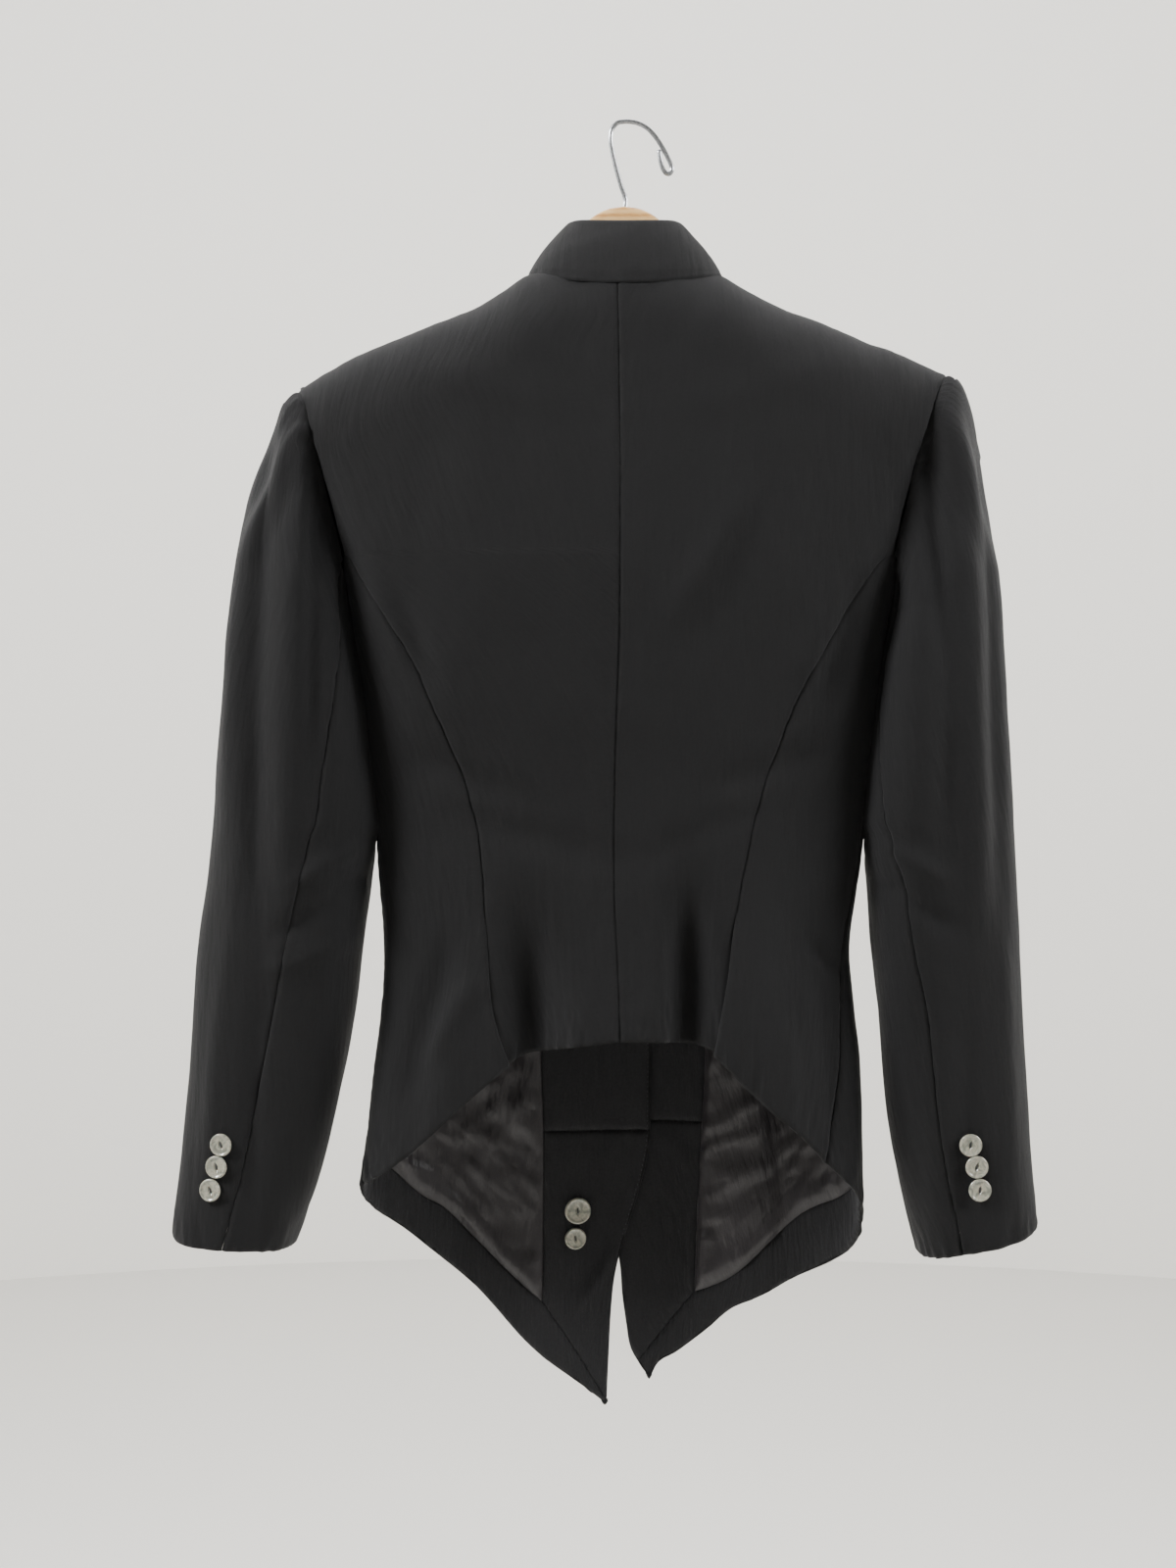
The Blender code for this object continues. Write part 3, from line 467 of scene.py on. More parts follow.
# %% Wrinkle helpers
BACK, FRONT = -1, 1
DRAG_STRENGTH = 1.6
PUCKER_REACH, PUCKER_HEIGHT = 9.0, 0.8
ROLL_REACH = 1.3
DRAGS = (
    # face, from x, from drop, to x, to drop, half width, height
    (BACK, 76, 262, 31, 333, 9, 1.5),
    (BACK, 92, 250, 52, 352, 12, -1.3),
    (BACK, 150, 322, 132, 384, 8, -1.8),
    (BACK, 140, 318, 112, 372, 9, 1.2),
    (BACK, -150, 322, -128, 372, 9, -1.5),
    (BACK, -168, 330, -140, 400, 10, 1.3),
    (BACK, -120, 176, -52, 196, 12, 1),
    (BACK, 118, 178, 46, 198, 12, 1),
    (BACK, -104, 250, -66, 330, 16, 1.2),
    (BACK, -130, 430, -70, 452, 9, -1.2),
    (BACK, 124, 424, 62, 446, 9, -1.2),
    (BACK, -98, 470, -20, 490, 10, -1.1),
    (BACK, 86, 462, 14, 492, 10, -1.1),
    (BACK, -56, 120, -30, 160, 12, -0.9),
    (BACK, 54, 120, 28, 160, 12, -0.9),
    (BACK, -104.8, 580, -125.8, 622, 7, 2.4),
    (BACK, -118, 560, -140, 640, 9, -2.2),
    (BACK, 123.6, 551, 141, 566, 5, -2),
    (BACK, 96, 560, 108, 680, 13, 1.8),
    (BACK, 132, 560, 138, 690, 11, -1.8),
    (FRONT, -9.5, 773.6, -28.5, 801.4, 3.2, -1.8),
    (FRONT, -6.8, 690, -11.8, 705, 2.5, -1),
    (FRONT, 36, 690, 45, 708, 3, -1.1),
    (FRONT, 27, 687, 33, 698, 2.5, -1),
    (FRONT, 120, 640, 104, 742, 9, 1.6),
    (FRONT, -130, 640, -112, 752, 10, 1.6),
    (FRONT, -96, 250, -60, 340, 14, 1.4),
    (FRONT, 96, 250, 60, 340, 14, 1.4),
    (FRONT, -120, 470, -30, 500, 10, -1.3),
    (FRONT, 110, 466, 30, 500, 10, -1.3),
)


def drag_height(x, drop, x0, drop0, x1, drop1, half_width, height):
    """The height of one drag at a point: a ridge along its line, fading at both ends."""
    along_x, along_drop = x1 - x0, drop1 - drop0
    length = math.hypot(along_x, along_drop)
    t = ((x - x0) * along_x + (drop - drop0) * along_drop) / length ** 2
    if not -0.4 < t < 1.4:
        return 0.0
    off = ((x - x0) * along_drop - (drop - drop0) * along_x) / length
    fade = ease((t + 0.4) / 0.6) * ease((1.4 - t) / 0.6)
    return DRAG_STRENGTH * height * fade * math.exp(-(off / half_width) ** 2)


def body_drags(point):
    """All drags of the body at a point, with the slow unevenness of hung cloth."""
    face = BACK if point.y < 0 else FRONT
    total = 2.0 * noise.noise(Vector((point.x / 38, -point.z / 105, face * 3.0)))
    total += 0.5 * noise.noise(Vector((point.x / 13, -point.z / 30, face * 7.0)))
    for drag_face, *drag in DRAGS:
        if drag_face == face:
            total += drag_height(point.x, -point.z, *drag)
    return total


def crinkles(across, along, fade):
    """Short pressed-in creases that run with the hem's turn-up; fade is 1 at the hem, 0 above it."""
    if fade <= 0:
        return 0.0
    coarse = noise.noise(Vector((across / 4.6, along / 26, 1.7)))
    fine = noise.noise(Vector((across / 2.3, along / 12, 4.1)))
    return ease(fade) * (1.8 * coarse + 0.8 * fine)


def puckers(along, distance):
    """Small creases across a seam; distance is how far the point is from it."""
    if distance > 3 * PUCKER_REACH:
        return 0.0
    wave = noise.noise(Vector((along / 6.5, distance / 30, 9.3)))
    return PUCKER_HEIGHT * math.exp(-distance / PUCKER_REACH) * wave


def rolled(distance, depth=1.2):
    """The cloth sinks into a seam, or turns over a folded edge."""
    return -depth * math.exp(-(distance / ROLL_REACH) ** 2)


def rolled_edges(place, top=True):
    """Rolls and puckers at the edges of a sheet, with its top edge or without it."""
    edges = [(place.near, place.drop), (place.far, place.drop + 300), (place.hem, place.x)]
    if top:
        edges.append((place.top, place.x))
    return sum(rolled(distance) + puckers(along, distance) for distance, along in edges)


print("a drag is", round(drag_height(53, 297, *DRAGS[0][1:]), 2), "mm high at its middle")

# %% [markdown]
# ## Back panels
#
# The back is cut in four. A seam runs down the middle, and two princess seams curve from the
# armholes to the waist and on to the hem. They shape the waist, so they must run exactly where
# the photo has them. Below the waist the flare falls into two deep valleys with a flat strip
# between them, and at the right one the side panel folds over and hides its seam's lower end.

# %% Seams and hems of the back
UNDERARM_DROP = 305.0  # lowest point of both armholes
SEAM_GAP = 0.3
NECK_X = 64.0
BACK_NECK_DROP, FRONT_NECK_DROP = 115.0, 128.0
CHEST_DROP = 290.0     # where the fronts' rows cross the chest, level with the underarm
FIRST_GUESS = 150.0    # a drop near the shoulder line, to start looking for it

# seams on the back: drop, distance from the middle of the hook
CENTRE_SEAM = ((110, -5), (216, -3.5), (343, -4.1), (419, -6.6), (508, -7.3),
               (572, -4.7), (620, -3.5))
PRINCESS_SEAM = {
    LEFT: ((292, 184), (309, 174.4), (326, 163), (344, 151.8), (367, 138.3), (391, 127.1),
           (416, 116), (438, 107.1), (461, 100.1), (481, 95.6), (504, 93.4), (550, 90.1),
           (590, 86.1), (625, 75)),
    RIGHT: ((292, 176.5), (299, 168.1), (322, 152.4), (349, 136.5), (374, 120.9),
            (391, 111.7), (414, 102.8), (445, 91.6), (468, 85), (488, 80.5), (506, 77.1),
            (545, 70), (572, 66.5), (621, 58)),
}
PRINCESS_START_DROP = 292.0
ARMHOLE_BACK = {
    LEFT: ((182, 219), (211, 209), (240, 201), (264, 194.8), (287, 188.4), (292, 187.4),
           (300, 187.4), (305, 188)),
    RIGHT: ((172, 217), (195.6, 204.5), (234.5, 192.7), (269, 184.6), (285, 181), (292, 180.4),
            (300, 182.6), (305, 184)),
}
ARMHOLE_FRONT = {
    LEFT: ((182, 219), (205, 206), (235, 194), (265, 187), (287, 184.5), (298, 185.5),
           (305, 188)),
    RIGHT: ((172, 217), (200, 201), (235, 187.5), (265, 181), (287, 178.5), (298, 181),
            (305, 184)),
}
# side seam: drop, turn
SIDE_SEAM = {
    LEFT: ((305, 90), (500, 90), (712, 86.5)),
    RIGHT: ((305, 90), (450, 79), (610, 63), (694, 52.5)),
}
# hems: turn, drop
BACK_HEM = {
    LEFT: ((0, 612.5), (6, 614.6), (15.5, 619.7), (22, 624.7), (30.5, 641.8),
           (41, 666.6), (56.5, 696), (70.5, 707), (90, 713)),
    RIGHT: ((0, 612.5), (8.5, 613.3), (16, 615.9), (22, 623), (29.5, 644.4), (35.5, 659),
            (42, 672), (52.5, 694)),
}
FRONT_HEM = {
    LEFT: ((86.5, 713), (103, 727), (120.5, 742), (131, 756), (147.5, 791), (161, 832),
           (179.5, 874)),
    RIGHT: ((52.5, 694), (62, 708), (72.5, 719), (84, 731), (98.5, 749), (120.5, 771), (135, 785),
            (145, 798), (152, 807), (157.5, 822), (164.5, 839), (169, 847), (171, 858)),
}
# front edges: drop, distance past the middle, to the photo's right
FRONT_EDGE = {
    LEFT: ((100, 19), (684, 19), (712, 15), (732, 9.4), (755, 2.4), (774, -3.3), (791, -6.7),
           (816, -8.9), (844, -10.3), (874, -11.7)),
    RIGHT: ((100, -18), (690, -18), (740, -10), (778, -2.4), (800, -0.6), (820, 2.2),
            (837, 5.2), (849, 12), (858, 18.5)),
}
# every panel of the body shares these rows, so that seams meet
ROWS, BEND_ROW, UNDERARM_ROW, FACING_ROW, CROSS_ROW, LINING_ROW = 25, 4, 7, 15, 18, 23
FACING_TOP_DROP = 575.0
RIDGE_GAP_DROP = 0.0003  # leaves a hair's breadth between the shoulder seam's two sides
CROSS_SEAM_DROP = {LEFT: 684.5, RIGHT: 678.5}
# lower edge of the lining: turn, drop
LINING_HEM = {
    LEFT: ((86.5, 684), (107.5, 697), (121.5, 709), (133.5, 728.8), (139.5, 737.2), (148, 759.6),
           (158, 787.4), (164, 801.7)),
    RIGHT: ((52.5, 669), (72.5, 694), (98.5, 714), (114, 725.7), (131.5, 739.9), (142.5, 762.3),
            (151.5, 784.7), (160, 796.1)),
}


def mm_to_turn(side, turn, drop, distance):
    """How many degrees of turn a distance along the cloth takes."""
    step = 0.5
    here = body_point(side * (turn - step), drop)
    there = body_point(side * (turn + step), drop)
    return distance * 2 * step / max((there - here).length, 1e-6)


def along_lines(lines, row):
    """A drop at a row, read straight between rows whose drops are known."""
    for (first, start), (last, end) in zip(lines, lines[1:]):
        if row <= last:
            return mix(start, end, (row - first) / (last - first))
    return lines[-1][1]


def over_shoulder(start, under, row):
    """Rows crowd together where the cloth turns over the shoulder."""
    start += RIDGE_GAP_DROP
    bend_end = SHOULDER_ROUND * 0.9
    if row < BEND_ROW:
        return start + bend_end * (1 - math.cos(math.radians(90 * (row / BEND_ROW) ** 1.3)))
    return mix(start + bend_end, under, (row - BEND_ROW) / (UNDERARM_ROW - BEND_ROW))


def cross_share(side):
    return (CROSS_SEAM_DROP[side] - FACING_TOP_DROP) / (LINING_HEM[side][-1][1] - FACING_TOP_DROP)


def side_lines(side):
    """The drops at the side seam, from the underarm to the hem."""
    lining, hem = LINING_HEM[side][0][1], FRONT_HEM[side][0][1]
    cross = mix(FACING_TOP_DROP, lining, cross_share(side))
    return ((UNDERARM_ROW, UNDERARM_DROP), (FACING_ROW, FACING_TOP_DROP), (CROSS_ROW, cross),
            (LINING_ROW, lining), (ROWS, hem))


def skirt_share(side, row):
    lines = side_lines(side)
    return (along_lines(lines, row) - UNDERARM_DROP) / (lines[-1][1] - UNDERARM_DROP)


def ridge_start(side, turn, start, ridge):
    """The drop where a line of constant turn meets the shoulder or the neck."""
    for _ in range(4):
        start = ridge(max(side * body_point(side * turn, start).x, 0.0))
    return start


def seam_inset(side, turn, drop):
    return mm_to_turn(side, turn, drop, SEAM_GAP / 2 + 0.1)


def neck_edge(side, centre_drop):
    def edge(x):
        if x >= NECK_X:
            return smooth_at(SHOULDER[side], x)
        return mix(centre_drop, smooth_at(SHOULDER[side], NECK_X), (x / NECK_X) ** 2)
    return edge


def princess_turn(side, drop):
    table = ARMHOLE_BACK[side] if drop < PRINCESS_START_DROP else PRINCESS_SEAM[side]
    return back_turn(side, side * smooth_at(table, drop), drop)


def even_row(share, stops):
    """Which row a share of the panel's length is on, from (share, row) stops."""
    for (first, row0), (last, row1) in zip(stops, stops[1:]):
        if share <= last:
            return mix(row0, row1, (share - first) / (last - first))
    return stops[-1][1]


def body_outside(point):
    return Vector((point.x, point.y * 3, 20 if point.z > -200 else 0))


print("the left princess seam is at turn", round(princess_turn(LEFT, 500)), "at the waist")

# %% Back panels
BACK_STOPS = ((0, 0), (0.14, BEND_ROW), (0.375, UNDERARM_ROW), (1, ROWS))
# at the right princess seam the side panel folds over the tucked edge of the centre panel
TUCK_START, TUCK_GROWTH = 520.0, 90.0
TUCK_DEPTH = {LEFT: 0.5, RIGHT: 4.5}
FOLD_OVER = {LEFT: 0.8, RIGHT: 2.5}
TUCKED_WIDTH = 4.0     # how far the centre panel goes under the side panel at the hem
EDGE_SINK = 2.4        # and how much its very edge sinks there


def tuck_share(drop):
    return ease((drop - TUCK_START) / TUCK_GROWTH)


def make_back_centre(side):
    """From the centre seam to the armhole and, below it, the princess seam."""
    ridge = neck_edge(side, BACK_NECK_DROP)

    def near_turn(drop):
        return back_turn(side, smooth_at(CENTRE_SEAM, drop), drop)

    @lru_cache(maxsize=None)
    def row_ends(row):
        if row < UNDERARM_ROW:
            near_drop = over_shoulder(BACK_NECK_DROP, PRINCESS_START_DROP, row)
            far_drop = over_shoulder(ARMHOLE_BACK[side][0][0], PRINCESS_START_DROP, row)
        else:
            near_drop = mix(PRINCESS_START_DROP, BACK_HEM[side][0][1], skirt_share(side, row))
            far_drop = mix(PRINCESS_START_DROP, PRINCESS_SEAM[side][-1][0], skirt_share(side, row))
        return near_turn(near_drop), princess_turn(side, far_drop), near_drop

    def surface(u, v):
        row = even_row(v, BACK_STOPS)
        near, far, near_drop = row_ends(row)
        turn = mix(near, far, u)
        if row < UNDERARM_ROW:
            drop = over_shoulder(ridge_start(side, turn, near_drop, ridge), PRINCESS_START_DROP, row)
        else:
            hem = smooth_at(BACK_HEM[side], princess_turn(side, PRINCESS_SEAM[side][-1][0]) * u)
            drop = mix(PRINCESS_START_DROP, hem, skirt_share(side, row))
            turn += u * mm_to_turn(side, turn, drop, TUCKED_WIDTH) * tuck_share(drop)
        return body_point(side * turn, drop)

    def relief(place):
        sunk = TUCK_DEPTH[side] * math.exp(-(place.far / 16) ** 2)
        sunk += EDGE_SINK * math.exp(-(place.far / 4) ** 2)
        return (body_drags(place.point) + rolled_edges(place) - sunk * tuck_share(place.drop)
                + crinkles(place.near, place.drop, 1 - place.hem / 42))

    name = f"back_centre_{SIDE_NAMES[side]}"
    lay_cloth(name, surface, body_outside, 190, 530, relief, "wool", name)


def armhole_drop(side, turn):
    """How far down the armhole is at a turn, under the arm."""
    high, low = PRINCESS_START_DROP, UNDERARM_DROP
    for _ in range(20):
        middle = (high + low) / 2
        if back_turn(side, side * smooth_at(ARMHOLE_BACK[side], middle), middle) < turn:
            high = middle
        else:
            low = middle
    return (high + low) / 2


def make_back_side(side):
    """From the princess seam to the side seam."""
    first_turn = princess_turn(side, PRINCESS_SEAM[side][-1][0])

    @lru_cache(maxsize=None)
    def column_ends(u):
        top = armhole_drop(side, mix(princess_turn(side, PRINCESS_START_DROP), 89.6, u))
        return top, smooth_at(BACK_HEM[side], mix(first_turn, BACK_HEM[side][-1][0], u))

    @lru_cache(maxsize=None)
    def row_ends(share):
        near_drop = mix(PRINCESS_START_DROP, PRINCESS_SEAM[side][-1][0], share)
        far_drop = mix(UNDERARM_DROP, BACK_HEM[side][-1][1], share)
        return princess_turn(side, near_drop), smooth_at(SIDE_SEAM[side], far_drop)

    def surface(u, v):
        share = skirt_share(side, mix(UNDERARM_ROW, ROWS, v))
        near, far = row_ends(share)
        top, hem = column_ends(u)
        return body_point(side * mix(near, far, u), mix(top, hem, share))

    def relief(place):
        proud = FOLD_OVER[side] * tuck_share(place.drop) * math.exp(-(place.near / 14) ** 2)
        return (body_drags(place.point) + rolled_edges(place) + proud
                + crinkles(place.near, place.drop, 1 - place.hem / 42))

    name = f"back_side_{SIDE_NAMES[side]}"
    lay_cloth(name, surface, body_outside, 100, 410, relief, "wool", name)


for side in (LEFT, RIGHT):
    make_back_centre(side)
    make_back_side(side)

# %% [markdown]
# ## Fronts, and what shows inside them
#
# The fronts are longer than the back, so the photo shows their inside below the back's hem: a
# satin lining, wool facings pieced with a cross seam, and a hem facing mitred into each point.
# The inner pieces could be shaped on their own, but then they would drift from the fronts. They
# are laid on the front's own surface instead, a cloth's thickness further in, between its rows
# and columns. Along the middle the right front laps over the left one.

# %% Front edges and facing lines
OVERLAP_STEP = 4.6     # the right front lies this far outside the left one
LINING_GAP = 0.35      # between the fronts and what lies inside them
FRONT_COLUMNS, LINING_COLUMNS = 11, 8
# drop, distance past the middle, to the photo's right
FACING_LINE = {
    LEFT: ((560, -57), (639, -56.6), (684, -55.2), (745, -55.2), (802, -55.7)),
    RIGHT: ((560, 58), (639, 57), (703, 54.2), (745, 52.3), (796, 50.5)),
}
MITRE = {LEFT: ((802, -55.7), (872, -14)), RIGHT: ((796, 50.5), (846, 22))}
FACING_EDGE_ROLL = 0.9


def step_out(point):
    """The right front passes over the left one near the middle."""
    return OVERLAP_STEP * ease((60.0 - point.x) / 30.0)


def front_surface(side):
    """A front, whose rows and columns also carry the edges of its facings and its lining."""
    ridge = neck_edge(side, FRONT_NECK_DROP)
    step = step_out if side == RIGHT else None
    lines_at_side = side_lines(side)
    fold = LINING_COLUMNS / FRONT_COLUMNS
    facing_x, mitre_drop = MITRE[side][0][1], MITRE[side][0][0]
    hem = FRONT_HEM[side]
    hem_fold = front_turn(side, facing_x, mitre_drop + 30)

    @lru_cache(maxsize=None)
    def lines(u):
        """The drops of the named rows at u."""
        if u <= fold:
            share = u / fold
            lining_hem = LINING_HEM[side]
            lining = smooth_at(lining_hem, mix(lining_hem[0][0], lining_hem[-1][0], share))
            cross = mix(FACING_TOP_DROP, lining, cross_share(side))
            edge = smooth_at(hem, mix(hem[0][0], hem_fold, share))
        else:
            share = (u - fold) / (1 - fold)
            lining = mix(LINING_HEM[side][-1][1], MITRE[side][1][0], share)
            cross = CROSS_SEAM_DROP[side]
            edge = smooth_at(hem, mix(hem_fold, hem[-1][0], share))
        return ((UNDERARM_ROW, mix(UNDERARM_DROP, CHEST_DROP, min(4 * u, 1))),
                (FACING_ROW, FACING_TOP_DROP), (CROSS_ROW, cross), (LINING_ROW, lining), (ROWS, edge))

    def seam_turn(drop):
        if drop < UNDERARM_DROP:
            return front_turn(side, side * smooth_at(ARMHOLE_FRONT[side], drop), drop)
        return smooth_at(SIDE_SEAM[side], drop)

    def line_turn(drop):
        return front_turn(side, smooth_at(FACING_LINE[side], drop), drop)

    def edge_turn(drop):
        return front_turn(side, smooth_at(FRONT_EDGE[side], drop), drop)

    @lru_cache(maxsize=None)
    def turns(row):
        """The turns of the side seam, the facing's inner line and the front edge at a row."""
        if row < UNDERARM_ROW:
            seam_drop = over_shoulder(ARMHOLE_FRONT[side][0][0], UNDERARM_DROP, row)
            line_drop = edge_drop = over_shoulder(FRONT_NECK_DROP, CHEST_DROP, row)
        else:
            seam_drop = along_lines(lines_at_side, row)
            line_drop, edge_drop = along_lines(lines(fold), row), along_lines(lines(1.0), row)
        seam, edge = seam_turn(seam_drop), edge_turn(edge_drop)
        return (seam + seam_inset(side, seam, seam_drop), line_turn(line_drop), edge)

    def surface(u, v):
        row = v * ROWS
        seam, line, edge = turns(row)
        turn = mix(seam, line, u / fold) if u <= fold else mix(line, edge, (u - fold) / (1 - fold))
        if row < UNDERARM_ROW:
            start = ridge_start(side, turn, FIRST_GUESS, ridge)
            drop = over_shoulder(start, lines(u)[0][1], row)
        else:
            drop = along_lines(lines(u), row)
        point = body_point(side * turn, drop)
        if step:
            point.y += step(point)
        return point
    return surface


front_surfaces = {side: front_surface(side) for side in (LEFT, RIGHT)}
print("the fronts meet the hem at", [round(-front_surfaces[side](1, 1).z) for side in front_surfaces], "mm")

# %% Fronts, facings and lining
FRONT_STOPS = ((0, 0), (0.11, BEND_ROW), (0.29, UNDERARM_ROW), (1, ROWS))


def lining_folds(place):
    """The loose lining: folds, sharp creases, slack at its hem, and puckers along the facing."""
    x, drop = place.x, place.drop
    upright = 1 - abs(noise.noise(Vector((x / 16, drop / 130, 2.2))))
    slack = 1 - abs(noise.noise(Vector((x / 30 + drop / 60, drop / 24, 5.5))))
    crumple = noise.noise(Vector((x / 7, drop / 9, 8.8)))
    pucker = abs(noise.noise(Vector((drop / 5.5, x / 40, 3.3)))) * math.exp(-place.far / 9)
    bag = math.exp(-((place.hem - 9) / 7) ** 2)
    crease = 1 - abs(noise.noise(Vector((x / 13 + drop / 50, drop / 46, 7.1))))
    return (3.4 * upright ** 6 + 2.2 * slack ** 8 + 2.4 * crease ** 14 + 0.6 * crumple
            + 3.6 * pucker + 1.8 * bag)


def make_front(side):
    name = SIDE_NAMES[side]
    surface = front_surfaces[side]

    def even_surface(u, v):
        return surface(u, even_row(v, FRONT_STOPS) / ROWS)

    def front_relief(place):
        return (body_drags(place.point) + rolled_edges(place)
                + crinkles(place.near, place.drop, 1 - place.hem / 34))

    lay_cloth(f"front_{name}", even_surface, body_outside, 205, 620, front_relief, "wool", f"front_{name}")

    def lay(piece, columns, rows, width, length, material, own_relief):
        """An inner piece between some of the front's columns and rows."""
        first_column, last_column = columns
        first_row, last_row = rows
        gap_u = FACING_EDGE_ROLL / width if last_column == FRONT_COLUMNS else 0.0
        gap_v = FACING_EDGE_ROLL / length if last_row == ROWS else 0.0

        def inner(u, v):
            column = mix(first_column, last_column, u * (1 - gap_u))
            row = mix(first_row, last_row, v * (1 - gap_v))
            return surface(column / FRONT_COLUMNS, row / ROWS)

        def relief(place):
            return body_drags(place.point) - own_relief(place)

        label = f"{piece}_{name}"
        lay_cloth(label, inner, body_outside, width, length, relief, material, label,
                  thickness=LINING_WALL, inset=WALL + LINING_GAP)

    def pressed(place):
        """A facing is flat, with fine upright crinkles and a little relief inwards."""
        ripple = noise.noise(Vector((place.x / 3.4, place.drop / 19, 6.1)))
        edges = min(place.near, place.far, place.top, place.hem)
        return 1.0 + 0.9 * ripple - 1.9 * math.exp(-(edges / 1.6) ** 2)

    def satin(place):
        edges = min(place.near, place.far, place.top, place.hem)
        return lining_folds(place) * ease(edges / 9 + 0.12)

    side_part, front_part = (0, LINING_COLUMNS), (LINING_COLUMNS, FRONT_COLUMNS)
    lay("lining", side_part, (FACING_ROW, LINING_ROW), 150, 180, "satin", satin)
    lay("facing_upper", front_part, (FACING_ROW, CROSS_ROW), 76, 108, "facing", pressed)
    lay("facing_lower", front_part, (CROSS_ROW, LINING_ROW), 62, 170, "facing", pressed)
    lay("hem_facing", (0, FRONT_COLUMNS), (LINING_ROW, ROWS), 230, 50, "facing", pressed)


for side in (LEFT, RIGHT):
    make_front(side)

# %% [markdown]
# The left facing is held at its edge by a row of prick stitches, which the photo just shows. Each
# one is a tiny grain of thread. A ray cast from inside the jacket finds the facing at each place.

# %% Edge stitches
STITCH_PITCH, STITCH_FROM_EDGE = 3.4, 2.4
STITCHES_FROM, STITCHES_TO = 600.0, 765.0

bpy.context.view_layer.update()
depsgraph = bpy.context.evaluated_depsgraph_get()
stitches = bmesh.new()
drop, sewn = STITCHES_FROM, 0
while drop < STITCHES_TO:
    x = smooth_at(FRONT_EDGE[LEFT], drop) - STITCH_FROM_EDGE
    start = Vector((x, 0, -drop)) * MM
    hit, place, *_ = bpy.context.scene.ray_cast(depsgraph, start, Vector((0, 1, 0)))
    if hit:
        grain = bmesh.ops.create_icosphere(stitches, subdivisions=2, radius=0.32)["verts"]
        bmesh.ops.scale(stitches, vec=(0.9, 0.6, 2.2), verts=grain)
        bmesh.ops.translate(stitches, vec=place / MM, verts=grain)
        sewn += 1
    drop += STITCH_PITCH
print(sewn, "stitches along the facing")
add_mesh_piece("edge_stitches", stitches, "thread")

# %% [markdown]
# ## Sleeves
#
# Each sleeve is a slightly flat tube, cut in two parts whose seams run down its back and its
# front. The head is longer than the armhole it is sewn to, so its fullness is gathered there and
# falls in soft folds. A cubic curve takes every line of the sleeve from the armhole, over the
# head, to the tube below: it leaves the seam outwards and arrives hanging straight down.

# %% Sleeve form
SLEEVE = {
    LEFT: (
        # drop, outer, inner, half depth
        (318, 257.5, 188, 50), (352, 263.3, 182.6, 53), (392, 268.6, 176.8, 54),
        (431, 273.2, 172.2, 53), (471, 276.5, 168.4, 51), (489, 278.4, 167.6, 50),
        (506, 280.2, 169.8, 49),
        (550, 285.8, 174.9, 47), (603, 290, 181.5, 44), (656, 295, 192, 42), (700, 298, 203, 40),
        (752, 303, 222, 39)),
    RIGHT: (
        (318, 249.5, 183, 50), (352, 252.1, 175.8, 53), (392, 254.8, 171, 54),
        (431, 258.1, 167.2, 53), (471, 260.7, 163.8, 51), (492, 261.8, 161.9, 50),
        (510, 262.8, 163.4, 49),
        (550, 264.7, 166.5, 47), (603, 267.3, 171.5, 44), (656, 271.4, 176, 42), (700, 274, 184, 40),
        (752, 277, 198, 39)),
}
SLEEVE_SQUARENESS = 2.2
SLEEVE_TOP_TILT = 16.0
CUFF_TILT = {LEFT: 3.0, RIGHT: 9.5}
# where the sleeve's seams run: drop, degrees round the sleeve from its outer side to the back
BACK_SLEEVE_SEAM = {
    LEFT: ((250, 140), (318, 150), (377, 128), (436, 112), (500, 102), (605, 93), (752, 87)),
    RIGHT: ((250, 140), (318, 160), (391, 160), (432, 150), (502, 129), (557, 120),
            (600, 113), (752, 110)),
}
FRONT_SLEEVE_SEAM = ((250, 222), (318, 222), (752, 226))
# armhole: degrees round the sleeve, share of the way down the armhole
ARMHOLE_ROUND = ((0, 0), (35, 0.2), (70, 0.48), (110, 0.76), (145, 0.93), (180, 1))

SLEEVE_START, SLEEVE_END = 318.0, 752.0
SLEEVE_HEAD_SHARE = 0.34
HEAD_REACH, UNDERARM_REACH = 58.0, 14.0
GATHER_HEIGHT = 2.2
RIPPLE_HEIGHT = 2.0
TOUCH = 5.5            # the upper sleeve is pressed against the body that far
TOUCH_FROM, TOUCH_TO = 290.0, 468.0
UNDERARM_PUSH = 6.0    # and its head at the front of the underarm


def armhole_point(side, around):
    """A point of the armhole; around is 0 at the shoulder, 90 at the back, 180 underneath."""
    at_back = around <= 180
    table = ARMHOLE_BACK[side] if at_back else ARMHOLE_FRONT[side]
    share = smooth_at(ARMHOLE_ROUND, around if at_back else 360 - around)
    drop = mix(table[0][0], UNDERARM_DROP, share)
    turn = (back_turn if at_back else front_turn)(side, side * smooth_at(table, drop), drop)
    return body_point(side * turn, drop)


def tube_point(side, around, drop):
    """A point of the sleeve below its head."""
    outer, inner, half_depth = smooth_at(SLEEVE[side], drop)
    inner -= TOUCH * ease((drop - TOUCH_FROM) / 20) * (1 - ease((drop - TOUCH_TO) / 18))
    out, to_back = math.cos(math.radians(around)), math.sin(math.radians(around))
    ripple = RIPPLE_HEIGHT * math.cos(math.radians(4 * around - 100)) * (1 - ease((drop - 330) / 300))
    x = (outer + inner) / 2 + (outer - inner) / 2 * signed_power(out, 2 / SLEEVE_SQUARENESS)
    y = half_depth * signed_power(to_back, 2 / SLEEVE_SQUARENESS)
    tilt = SLEEVE_TOP_TILT * (1 - ease((drop - SLEEVE_START) / 90))
    tilt += CUFF_TILT[side] * ease((drop - 640) / (SLEEVE_END - 640))
    return Vector((side * (x + ripple * min(out, 0.8)), -(y + ripple * to_back), -(drop - tilt * out)))


